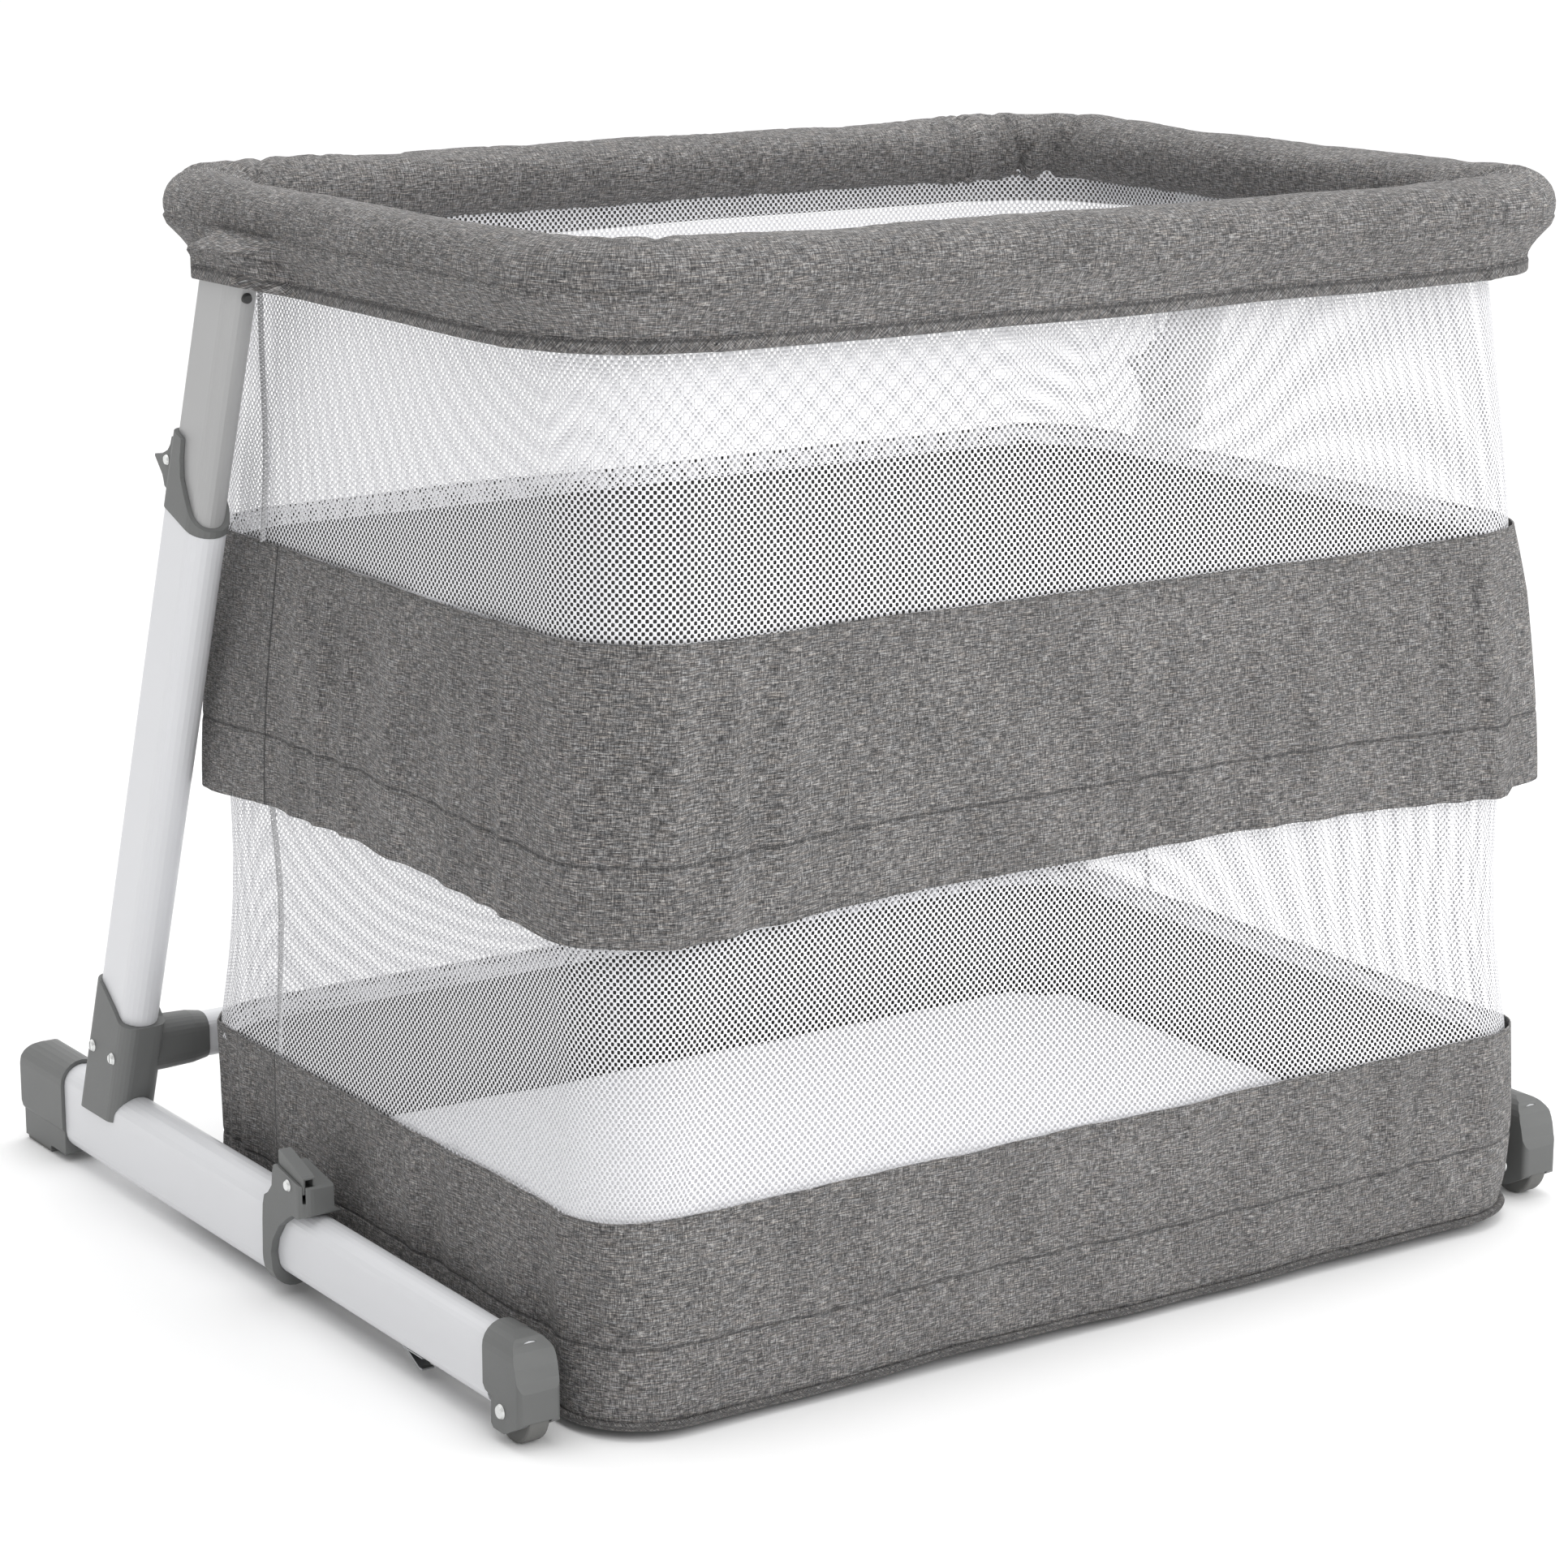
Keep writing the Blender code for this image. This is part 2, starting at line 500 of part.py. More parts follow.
# ---- frame --------------------------------------------------------------------------------------------
def build_legs(side, letter):
    leg_piece(f"leg_tube_{letter}", 0.0, LEG_FOOT_S, LEG_TOP_S, side, "white_paint", hole=-LEG_WALL)

    # The collar is a thin cup round the mouth of the outer tube: low in front, it sweeps up to a wing behind.
    collar = leg_piece(f"leg_collar_{letter}", 0.0010, COLLAR_LOW_S, COLLAR_HIGH_S, side, "grey_plastic")
    rise = COLLAR_HIGH_S - COLLAR_LOW_S
    sweep = [(-0.050, 0.0052), (-0.029, 0.0056), (-0.024, 0.0078), (-0.017, 0.0128), (-0.006, 0.0226),
             (0.0055, 0.0350), (0.0105, 0.0500), (0.0125, rise + 0.002), (0.0125, 0.10), (-0.050, 0.10)]
    turn = Matrix(((0, 0, 1, 0), (1, 0, 0, 0), (0, 1, 0, 0), (0, 0, 0, 1)))
    wedge = extruded("wedge", [sweep], 0.08,
                     leg_frame(side, COLLAR_LOW_S) @ Matrix.Translation((-0.04, 0, 0)) @ turn, "grey_plastic",
                     home=HELPERS)
    cut(collar, wedge)
    ear_half = LATCH_W / 2 + 0.0035
    y0, z0 = LATCH_PIVOT
    ear_outline = [(y0 - 0.0380, z0 - 0.0300), (y0 - 0.0080, z0 - 0.0330), (y0 + 0.0010, z0 - 0.0280),
                   (y0 + 0.0070, z0 - 0.0140), (y0 + 0.0090, z0 - 0.0020), (y0 + 0.0065, z0 + 0.0045),
                   (y0 - 0.0020, z0 + 0.0080), (y0 - 0.0070, z0 + 0.0130), (y0 - 0.0100, z0 + 0.0195),
                   (y0 - 0.0380, z0 + 0.0250)]
    join(collar, extruded("ears", [ear_outline], 2 * ear_half, along_x(side * LEG_X - ear_half),
                          "grey_plastic", home=HELPERS))
    cut(collar, box("well", (side * LEG_X - LATCH_W / 2 - GAP, y0 - 0.0106, z0 - 0.0400),
                    (side * LEG_X + LATCH_W / 2 + GAP, y0 + 0.05, z0 + 0.0400), "grey_plastic", home=HELPERS))
    below = box("below", (-0.05, -0.05, -0.10), (0.05, 0.08, 0.0), "grey_plastic", home=HELPERS)
    below.data.transform(leg_frame(side, COLLAR_LOW_S))
    cut(collar, below)
    cut(collar, leg_piece("bore", UPPER_GROW + 0.0003, 0.55, 0.80, side, "grey_plastic", home=HELPERS))
    x0 = side * LEG_X
    cut(collar, cylinder("rivet_hole", PIVOT_R + 0.0001, (x0 - 0.03, y0, z0), (x0 + 0.03, y0, z0),
                         "grey_plastic", home=HELPERS))

    latch_outline = [(y0 + 0.0285, z0 - 0.0010), (y0 + 0.0280, z0 + 0.0008), (y0 + 0.0135, z0 + 0.0025),
                     (y0 + 0.0040, z0 + 0.0062), (y0 - 0.0030, z0 + 0.0068), (y0 - 0.0086, z0 + 0.0020),
                     (y0 - 0.0086, z0 - 0.0180), (y0 - 0.0050, z0 - 0.0240), (y0 + 0.0030, z0 - 0.0275),
                     (y0 + 0.0135, z0 - 0.0225), (y0 + 0.0145, z0 - 0.0190), (y0 + 0.0165, z0 - 0.0138)]
    latch = extruded(f"leg_latch_{letter}", [latch_outline], LATCH_W, along_x(x0 - LATCH_W / 2),
                     "grey_plastic")
    cut(latch, cylinder("hole", PIVOT_R + PIVOT_PLAY, (x0 - 0.03, y0, z0), (x0 + 0.03, y0, z0),
                        "grey_plastic", home=HELPERS))
    pivot_at(latch, (x0, y0, z0))
    rivet = cylinder(f"latch_rivet_{letter}", PIVOT_R, (x0 - ear_half - GAP, y0, z0),
                     (x0 + ear_half + GAP, y0, z0), "zinc")
    for way in (-1, 1):
        face = x0 + way * (ear_half + GAP)
        join(rivet, cylinder("head", 0.0042, (face - way * 0.0001, y0, z0), (face + way * 0.0014, y0, z0),
                             "zinc", home=HELPERS, taper=0.0034))


def build_knuckle(side, letter):
    """Leg sleeve with a swept top edge, skirts over the foot tube and an inward socket, in one moulding."""
    body = leg_piece(f"knuckle_{letter}", KNUCKLE_WALL, 0.030, 0.215, side, "grey_plastic", front_r=0.0130)
    x0 = side * LEG_X
    above = [(0.20, 0.1500), (0.2330, 0.1515), (0.2440, 0.1548), (0.2520, 0.1625), (0.2700, 0.1765),
             (0.2790, 0.1825), (0.30, 0.19), (0.30, 0.25), (0.16, 0.25), (0.16, 0.1500)]
    cut(body, extruded("above", [above], 0.10, along_x(x0 - 0.05), "grey_plastic", home=HELPERS))
    cut(body, box("below", (x0 - 0.05, 0.10, 0.0), (x0 + 0.05, 0.45, KNUCKLE_BOTTOM), "grey_plastic",
                  home=HELPERS))
    # The socket's top falls away towards its mouth.
    half_y, half_z = grown(CROSSBAR_HALF, 0.0040)
    rings = []
    for along, squash in ((0.0, 1.0), (0.40, 1.0), (0.80, 0.96), (1.0, 0.86)):
        x = side * (LEG_X - (LEG_X - SOCKET_END_X) * along)
        rings.append([(x, CROSSBAR_Y + u * squash, CROSSBAR_Z + v * squash)
                      for u, v in rounded_rect(half_y, half_z, 0.0140)])
    join(body, lofted("socket", rings, "grey_plastic", home=HELPERS))
    cut(body, leg_piece("leg_bore", GAP, LEG_FOOT_S - GAP, 0.30, side, "grey_plastic", home=HELPERS))
    cut(body, foot_piece("foot_bore", grown(FOOT_HALF, GAP), 0.10, 0.45, side, "grey_plastic",
                         home=HELPERS))
    bore = [(CROSSBAR_Y + u, CROSSBAR_Z + v) for u, v in
            rounded_rect(*grown(CROSSBAR_HALF, GAP), CROSSBAR_R + GAP)]
    depth = 0.044
    inner_end = side * SOCKET_END_X
    start = inner_end - 0.01 if side > 0 else inner_end - depth
    cut(body, extruded("bar_bore", [bore], depth + 0.01, along_x(start), "grey_plastic", home=HELPERS))
    for number, (y, z) in enumerate(SCREW_YZ, 1):
        face = side * (LEG_X + LEG_HALF[0] + KNUCKLE_WALL + GAP)
        screw = cylinder(f"knuckle_screw_{letter}{number}", 0.0052, (face, y, z),
                         (face + side * 0.0024, y, z), "zinc", taper=0.0036)
        slot_x = sorted((face + side * 0.0012, face + side * 0.0040))
        cut(screw, box("slot", (slot_x[0], y - 0.0007, z - 0.0038), (slot_x[1], y + 0.0007, z + 0.0038),
                       "zinc", home=HELPERS))


def build_foot(side, letter):
    foot_piece(f"foot_tube_{letter}", FOOT_HALF, *FOOT_TUBE_Y, side, "white_paint",
               hole=grown(FOOT_HALF, -FOOT_WALL))
    foot_piece(f"inner_foot_{letter}", INNER_HALF, *INNER_Y, side, "white_paint",
               hole=grown(INNER_HALF, -0.0015))
    x0 = side * FOOT_X

    front, back = REAR_CAP_Y
    profile = [(front, 0.0888), (back - 0.0210, 0.0888)]
    profile += [(back - 0.0210 + 0.0210 * math.sin(math.radians(18 * i)),
                 0.0678 + 0.0210 * math.cos(math.radians(18 * i))) for i in range(1, 5)]
    profile += [(back, 0.0660), (back, 0.0340), (back - 0.0025, 0.0305), (back - 0.0025, 0.0040),
                (0.3960, 0.0040), (0.3940, 0.0072), (front, 0.0072)]
    cap = extruded(f"rear_cap_{letter}", [profile], 0.0600, along_x(x0 - 0.0300), "grey_plastic")
    half = FOOT_HALF[0] + 0.0034
    section = [(x0 + u, v) for u, v in
               [(half * math.cos(math.radians(15 * i)), 0.0888 - half + half * math.sin(math.radians(15 * i)))
                for i in range(13)] + [(-half, 0.0300), (-half + 0.0020, 0.0270), (-half + 0.0020, 0.0),
                                       (half - 0.0020, 0.0), (half - 0.0020, 0.0270), (half, 0.0300)]]
    merge(cap, extruded("section", [section], 0.15, along_y(0.32), "grey_plastic", home=HELPERS), "INTERSECT")
    cut(cap, foot_piece("bore", grown(FOOT_HALF, GAP), front - 0.02, FOOT_TUBE_Y[1] + GAP, side,
                        "grey_plastic", home=HELPERS))
    box(f"rear_pad_{letter}", (x0 - 0.0170, 0.3975, 0.0), (x0 + 0.0170, 0.4448, 0.0037), "grey_rubber",
        bevel=0.0008, segments=1)

    # Front cap: a hood over the inner tube's end, with a wheel between its two cheeks.
    front, back = FRONT_CAP_Y
    profile = [(back, 0.0850), (-0.3660, 0.0845), (-0.3790, 0.0805), (-0.3868, 0.0725), (-0.3905, 0.0620),
               (-0.3925, 0.0525), (front, 0.0450), (front, 0.0225), (front + 0.0030, 0.0195),
               (-0.3850, 0.0150), (-0.3740, 0.0092), (-0.3590, 0.0092), (-0.3561, 0.0125),
               (-0.3561, 0.0325), (-0.3480, 0.0345), (back, 0.0385)]
    cap = extruded(f"front_cap_{letter}", [profile], 0.0600, along_x(x0 - 0.0300), "grey_plastic")
    half = FRONT_CAP_HALF
    section = [(x0 + half * math.cos(math.radians(15 * i)),
                0.0840 - half + half * math.sin(math.radians(15 * i))) for i in range(13)]
    section += [(x0 - half, 0.0), (x0 + half, 0.0)]
    merge(cap, extruded("section", [section], 0.10, along_y(-0.42), "grey_plastic", home=HELPERS),
          "INTERSECT")
    nose = rounded_rect(half, 0.0400, 0.0050)
    plan = extruded("plan", [[(x0 + u, front + 0.0400 + v) for u, v in nose]], 0.20, Matrix.Identity(4),
                    "grey_plastic", home=HELPERS)
    merge(cap, plan, "INTERSECT")
    cut(cap, foot_piece("bore", grown(INNER_HALF, GAP), INNER_Y[0] - GAP, back + 0.02, side,
                        "grey_plastic", home=HELPERS))
    reach = WHEEL_W / 2 + 0.0008
    cut(cap, cylinder("arch", WHEEL_R + 0.0012, (x0 - reach, WHEEL_Y, WHEEL_R),
                      (x0 + reach, WHEEL_Y, WHEEL_R), "grey_plastic", home=HELPERS, steps=36))
    cut(cap, cylinder("axle_hole", 0.0030 + GAP / 3, (x0 - 0.03, WHEEL_Y, WHEEL_R),
                      (x0 + 0.03, WHEEL_Y, WHEEL_R), "grey_plastic", home=HELPERS))

    # The tube's end is notched to clear the wheel and its axle.
    cut(bpy.data.objects[f"inner_foot_{letter}"],
        cylinder("wheel_room", WHEEL_R + 0.0012, (x0 - 0.03, WHEEL_Y, WHEEL_R), (x0 + 0.03, WHEEL_Y, WHEEL_R),
                 "white_paint", home=HELPERS, steps=36))

    reach = FRONT_CAP_HALF + 0.0005
    axle = cylinder(f"axle_{letter}", 0.0030, (x0 - reach, WHEEL_Y, WHEEL_R), (x0 + reach, WHEEL_Y, WHEEL_R),
                    "zinc")
    for way in (-1, 1):
        face = x0 + way * (FRONT_CAP_HALF + GAP)
        join(axle, cylinder("head", 0.0058, (face - way * 0.0001, WHEEL_Y, WHEEL_R),
                            (face + way * 0.0018, WHEEL_Y, WHEEL_R), "zinc", home=HELPERS, taper=0.0046))

    wheel = cylinder(f"wheel_{letter}", WHEEL_R, (x0 - WHEEL_W / 2, WHEEL_Y, WHEEL_R),
                     (x0 + WHEEL_W / 2, WHEEL_Y, WHEEL_R), "grey_rubber", steps=36)
    bm = bmesh.new()
    bm.from_mesh(wheel.data)
    rims = [e for e in bm.edges if e.calc_face_angle() > 1.2]
    bmesh.ops.bevel(bm, geom=rims, offset=0.0020, segments=2, affect="EDGES", profile=0.5)
    bm.to_mesh(wheel.data)
    bm.free()
    cut(wheel, cylinder("hub", 0.0030 + PIVOT_PLAY, (x0 - 0.03, WHEEL_Y, WHEEL_R),
                        (x0 + 0.03, WHEEL_Y, WHEEL_R), "grey_rubber", home=HELPERS))
    pivot_at(wheel, (x0, WHEEL_Y, WHEEL_R))

    # Steel leaf that stops the inner tube when it is pushed home.
    bottom = FOOT_Z - INNER_HALF[1] - GAP
    strip = [(LEAF_Y + u, bottom + v) for u, v in
             ((0.0, 0.0), (0.030, 0.0), (0.030, -0.0012), (0.022, -0.0012), (0.006, -0.0100), (0.0, -0.0100),
              (0.0, -0.0088), (0.0054, -0.0088), (0.0210, -0.0012), (0.0, -0.0012))]
    extruded(f"foot_leaf_{letter}", [strip], 0.0100, along_x(x0 - 0.0050), "steel")


def build_clamp(side, letter):
    """Clamp round the mouth of the outer foot tube; a housing on its outer side holds the release lever."""
    x0 = side * FOOT_X
    half = FOOT_HALF[0] + 0.0030
    low = FOOT_Z - FOOT_HALF[1] - 0.0030
    high = 0.1150
    cheek = [(-0.0313, 0.1129), (-0.0285, 0.1110), (-0.0270, 0.1060), (-0.0253, 0.0940), (-0.0185, 0.0865),
             (-0.0120, 0.0827), (-0.0090, 0.0740), (-0.0078, 0.0612), (-0.0067, 0.0337), (-0.0100, low),
             (-0.0225, low), (-0.0222, 0.0300), (-0.0205, 0.0380), (-0.0240, 0.0490), (-0.0359, 0.0642),
             (-0.0503, 0.0746), (-0.0590, 0.0790), (-0.0663, 0.0780), (-0.0740, 0.0810), (-0.0767, 0.0830),
             (-0.0767, 0.1035), (-0.0750, 0.1052), (-0.0345, 0.1128)]
    clamp = extruded(f"foot_clamp_{letter}", [cheek], 0.0600, along_x(x0 - 0.0300), "grey_plastic")
    section = [(x0 + half * math.cos(math.radians(15 * i)),
                low + half - half * math.sin(math.radians(15 * i))) for i in range(13)]
    section += [(x0 - half, high), (x0 + half, high)]
    merge(clamp, extruded("section", [section], 0.12, along_y(-0.10), "grey_plastic", home=HELPERS),
          "INTERSECT")
    # Above the tube only the outer side stays; inwards the clamp follows the tube's round top.
    inner = sorted((x0 + side * (half - HOOD_W), x0 - side * 0.03))
    over = box("over", (inner[0], -0.12, FOOT_Z), (inner[1], 0.02, 0.15), "grey_plastic", home=HELPERS)
    cut(over, foot_piece("keep", grown(FOOT_HALF, 0.0030), -0.13, 0.03, side, "grey_plastic", home=HELPERS))
    cut(clamp, over)
    nose = rounded_rect(half, 0.0450, 0.0100)
    merge(clamp, extruded("plan", [[(x0 + u, -0.0767 + 0.0450 + v) for u, v in nose]], 0.20,
                          Matrix.Identity(4), "grey_plastic", home=HELPERS), "INTERSECT")
    cut(clamp, foot_piece("outer_bore", grown(FOOT_HALF, GAP), FOOT_TUBE_Y[0] - GAP, 0.02, side,
                          "grey_plastic", home=HELPERS))
    cut(clamp, foot_piece("inner_bore", grown(INNER_HALF, 0.0004), -0.12, 0.02, side, "grey_plastic",
                          home=HELPERS))
    y0, z0 = LEVER_PIVOT
    lever_x = x0 + side * (half - CHEEK - GAP - LEVER_W / 2)
    cut(clamp, box("well", (lever_x - LEVER_W / 2 - GAP, -0.0745, 0.0920),
                   (lever_x + LEVER_W / 2 + GAP, 0.02, 0.16), "grey_plastic", home=HELPERS))
    hood_in = x0 + side * (half - HOOD_W)
    ends = sorted((x0 + side * (half + 0.01), hood_in - side * 0.01))
    cut(clamp, cylinder("hole", PIVOT_R + 0.0001, (ends[0], y0, z0), (ends[1], y0, z0), "grey_plastic",
                        home=HELPERS))

    outline = [(-0.0740, 0.1055), (-0.0725, 0.0990), (-0.0450, 0.0950), (-0.0380, 0.1000), (-0.0345, 0.1150),
               (-0.0340, 0.1245), (-0.0352, 0.1256), (-0.0375, 0.1253), (-0.0720, 0.1138), (-0.0740, 0.1120)]
    lever = extruded(f"foot_lever_{letter}", [outline], LEVER_W, along_x(lever_x - LEVER_W / 2),
                     "grey_plastic")
    cut(lever, box("slot", (lever_x - LEVER_W / 2 + 0.0016, -0.09, 0.1020),
                   (lever_x + LEVER_W / 2 - 0.0016, -0.0620, 0.1108), "dark_plastic", home=HELPERS))
    cut(lever, cylinder("hole", PIVOT_R + PIVOT_PLAY, (x0 - 0.04, y0, z0), (x0 + 0.04, y0, z0),
                        "grey_plastic", home=HELPERS))
    pivot_at(lever, (lever_x, y0, z0))
    screw_ends = (x0 + side * (half + GAP), hood_in - side * GAP)
    screw = cylinder(f"clamp_screw_{letter}", PIVOT_R, (screw_ends[0], y0, z0), (screw_ends[1], y0, z0),
                     "zinc")
    for way, face in ((side, screw_ends[0]), (-side, screw_ends[1])):
        join(screw, cylinder("head", 0.0048, (face - way * 0.0001, y0, z0), (face + way * 0.0018, y0, z0),
                             "zinc", home=HELPERS, taper=0.0036))


def build_crossbar():
    outline, hollow = [[(CROSSBAR_Y + u, CROSSBAR_Z + v) for u, v in
                        rounded_rect(*grown(CROSSBAR_HALF, grow), CROSSBAR_R + grow)]
                       for grow in (0.0, -0.0015)]
    reach = SOCKET_END_X + 0.0400
    extruded("rear_crossbar", [outline, hollow], 2 * reach, along_x(-reach), "white_paint")


build_basket()
build_rim()
build_crossbar()
for hand, mark in ((-1, "L"), (1, "R")):
    build_legs(hand, mark)
    build_knuckle(hand, mark)
    build_foot(hand, mark)
    build_clamp(hand, mark)
for finished in YARD.objects:
    if finished.type == "MESH":
        smooth_by_angle(finished)
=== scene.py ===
"""Looks for the travel play yard: soft goods, materials, floor, light and camera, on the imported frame."""
import math

import bmesh
import bpy
import numpy as np
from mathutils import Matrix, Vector, noise


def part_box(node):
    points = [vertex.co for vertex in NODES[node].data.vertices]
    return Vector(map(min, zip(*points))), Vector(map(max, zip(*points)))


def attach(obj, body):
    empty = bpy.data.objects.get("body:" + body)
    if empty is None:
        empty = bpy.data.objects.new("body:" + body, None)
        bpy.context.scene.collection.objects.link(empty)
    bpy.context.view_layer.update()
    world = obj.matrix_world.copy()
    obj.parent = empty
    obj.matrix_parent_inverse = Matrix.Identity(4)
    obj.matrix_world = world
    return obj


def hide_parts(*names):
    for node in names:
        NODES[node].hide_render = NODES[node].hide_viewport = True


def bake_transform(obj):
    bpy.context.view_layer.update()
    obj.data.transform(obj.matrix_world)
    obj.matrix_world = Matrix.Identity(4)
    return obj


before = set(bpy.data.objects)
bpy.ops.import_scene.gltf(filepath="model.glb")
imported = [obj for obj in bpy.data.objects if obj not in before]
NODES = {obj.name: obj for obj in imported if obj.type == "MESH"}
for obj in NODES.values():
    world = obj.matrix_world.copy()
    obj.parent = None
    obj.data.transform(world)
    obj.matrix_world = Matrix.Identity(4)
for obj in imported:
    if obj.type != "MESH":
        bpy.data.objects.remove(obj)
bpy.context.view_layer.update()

# ---- places, all from the frame -----------------------------------------------------------------------
BAND_LOW, BAND_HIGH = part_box("base_band")
MID_LOW, MID_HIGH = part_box("mid_band")
TUBE_LOW, TUBE_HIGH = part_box("rim_tube")
PAD_LOW, PAD_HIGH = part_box("rim_pad")
HEM_LOW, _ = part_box("rim_valance")
UPPER_LOW, UPPER_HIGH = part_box("upper_net")
BED_LOW, BED_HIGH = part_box("mattress")
PIPE_LOW, PIPE_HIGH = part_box("base_piping")
LEG_LOW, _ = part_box("upper_tube_L")

BASKET_Y = (BAND_LOW.y + BAND_HIGH.y) / 2
RIM_Y = (PAD_LOW.y + PAD_HIGH.y) / 2
RIM_Z = (TUBE_LOW.z + TUBE_HIGH.z) / 2
RIM_R = (TUBE_HIGH.z - TUBE_LOW.z) / 2
RIM_HALF = (TUBE_HIGH.x - RIM_R, (TUBE_HIGH.y - TUBE_LOW.y) / 2 - RIM_R)
PAD_HALF = (PAD_HIGH.x - RIM_HALF[0], PAD_HIGH.z - RIM_Z)
BAND_HALF = (BAND_HIGH.x, (BAND_HIGH.y - BAND_LOW.y) / 2)
MID_HALF = (MID_HIGH.x, (MID_HIGH.y - MID_LOW.y) / 2)
NET_HALF = (UPPER_HIGH.x, (UPPER_HIGH.y - UPPER_LOW.y) / 2)
LEG_HEAD_Y = LEG_LOW.y + 0.0250
LEG_OUTSIDE = -LEG_LOW.x
SEAM_Y = 0.075                      # of the upright joins in the end walls

RIM_CORNER, NET_CORNER, BAND_CORNER = 0.088, 0.085, 0.066
BED_CORNER = 0.074
CAP_RINGS = 7                       # from the mattress's edge to its middle
EDGE_INSET, EDGE_DEEP = 0.0062, 0.014   # of the nets' turned-in edges, inside the bands
MID_PROUD = 0.0026                  # of the middle band's top edge, outside the net
CLOTH_THICK = 0.0014                # of the two bands
MID_SEAM_UP, BASE_SEAM_UP = 0.054, 0.058    # of the bands' stitched seams, above their lower edges
MOST_SWELL = 0.0030                 # how far a cloth simulation may move the cloth
THREAD_ACROSS, THREAD_UP = 0.0011, 0.0010   # pitch of the weave
STITCH = 0.0036                     # length of a stitch and its gap
LONG_COLUMNS, SHORT_COLUMNS, CORNER_COLUMNS = 168, 112, 20


# ---- plan of the basket -------------------------------------------------------------------------------
def plan_ring(half_x, half_y, corner, centre_y):
    """Points and outward normals round a rounded rectangle, anticlockwise from the middle of the back."""
    points, normals = [], []

    def side(start, end, count, normal):
        for k in range(count):
            points.append(start + (end - start) * (k / count))
            normals.append(normal)

    def bend(cx, cy, start):
        for k in range(CORNER_COLUMNS):
            a = math.radians(start + 90 * k / CORNER_COLUMNS)
            n = np.array((math.cos(a), math.sin(a)))
            points.append(np.array((cx, cy)) + corner * n)
            normals.append(n)

    x, y = half_x - corner, half_y - corner
    east, north = np.array((1.0, 0.0)), np.array((0.0, 1.0))
    half_long = LONG_COLUMNS // 2
    side(np.array((0, half_y)), np.array((-x, half_y)), half_long, north)
    bend(-x, y, 90)
    side(np.array((-half_x, y)), np.array((-half_x, -y)), SHORT_COLUMNS, -east)
    bend(-x, -y, 180)
    side(np.array((-x, -half_y)), np.array((x, -half_y)), LONG_COLUMNS, -north)
    bend(x, -y, 270)
    side(np.array((half_x, -y)), np.array((half_x, y)), SHORT_COLUMNS, east)
    bend(x, y, 0)
    side(np.array((x, half_y)), np.array((0, half_y)), half_long, north)
    return np.array(points) + (0, centre_y), np.array(normals)


def way_round(points):
    """Distance along a closed ring at each of its points, and at the end back at the first one."""
    steps = np.linalg.norm(np.roll(points, -1, axis=0) - points, axis=1)
    return np.concatenate([[0.0], np.cumsum(steps)])


def ripple(x, y, z, seed, fine, tall):
    """Smooth noise on the plan, so that it meets itself all the way round; upright where tall is low."""
    return noise.noise(Vector((x * fine + seed, y * fine - seed, z * tall)))


def cloth_mesh(name, verts, faces, uvs, material):
    """A smooth piece of cloth from its points and faces, with one pair of UVs, in metres, a corner."""
    mesh = bpy.data.meshes.new(name)
    mesh.from_pydata(verts, [], faces)
    layer = mesh.uv_layers.new(name="cloth")
    layer.data.foreach_set("uv", np.array(uvs, np.float32).ravel())
    mesh.polygons.foreach_set("use_smooth", np.ones(len(faces), bool))
    mesh.materials.append(material)
    piece = bpy.data.objects.new(name, mesh)
    bpy.context.scene.collection.objects.link(piece)
    return piece


def cloth_grid(name, rows, material, shape, shut=False):
    """A closed ring of cloth. rows are (half_x, half_y, corner, z, centre_y), from the top down; shape moves
    a point: shape(x, y, z, row, nx, ny, s) gives (outwards, upwards), s being the way round from the middle
    of the back. UVs are in metres of cloth."""
    base, _ = plan_ring(*rows[0][:3], rows[0][4])
    count = len(base)
    around = way_round(base)
    verts, uvs_v = [], []
    travelled = 0.0
    last_mid = None
    for index, (half_x, half_y, corner, z, centre_y) in enumerate(rows):
        points, normals = plan_ring(half_x, half_y, corner, centre_y)
        for (x, y), (nx, ny), s in zip(points, normals, around):
            out, up = shape(x, y, z, index, nx, ny, s)
            verts.append((x + nx * out, y + ny * out, z + up))
        mid = Vector((half_x, 0, z))
        if last_mid is not None:
            travelled += (mid - last_mid).length
        last_mid = mid
        uvs_v.append(-travelled)
    faces, uv = [], []
    n_rows = len(rows)
    row_pairs = [(r, (r + 1) % n_rows) for r in range(n_rows if shut else n_rows - 1)]
    for r, s in row_pairs:
        v_low = uvs_v[s] if s > r else uvs_v[r] - 0.01
        for c in range(count):
            d = (c + 1) % count
            faces.append((r * count + c, s * count + c, s * count + d, r * count + d))
            uv += [(around[c], uvs_v[r]), (around[c], v_low), (around[c + 1], v_low),
                   (around[c + 1], uvs_v[r])]
    return cloth_mesh(name, verts, faces, uv, material)


def thicken(piece, thickness, painted_shade_lining=None):
    """Gives the sheet its two sides and rims; painted_shade_lining is the material of the inner side, a
    darker copy of the cloth as painted shade.
    """
    mod = piece.modifiers.new("thickness", "SOLIDIFY")
    mod.thickness = thickness
    mod.offset = -1.0
    if painted_shade_lining:
        piece.data.materials.append(painted_shade_lining)
        mod.material_offset = 1
    bake_modifiers(piece)


def bake_modifiers(piece):
    """Replaces the mesh with what its modifiers make of it."""
    graph = bpy.context.evaluated_depsgraph_get()
    mesh = bpy.data.meshes.new_from_object(piece.evaluated_get(graph), preserve_all_data_layers=True,
                                           depsgraph=graph)
    piece.modifiers.clear()
    piece.data = mesh


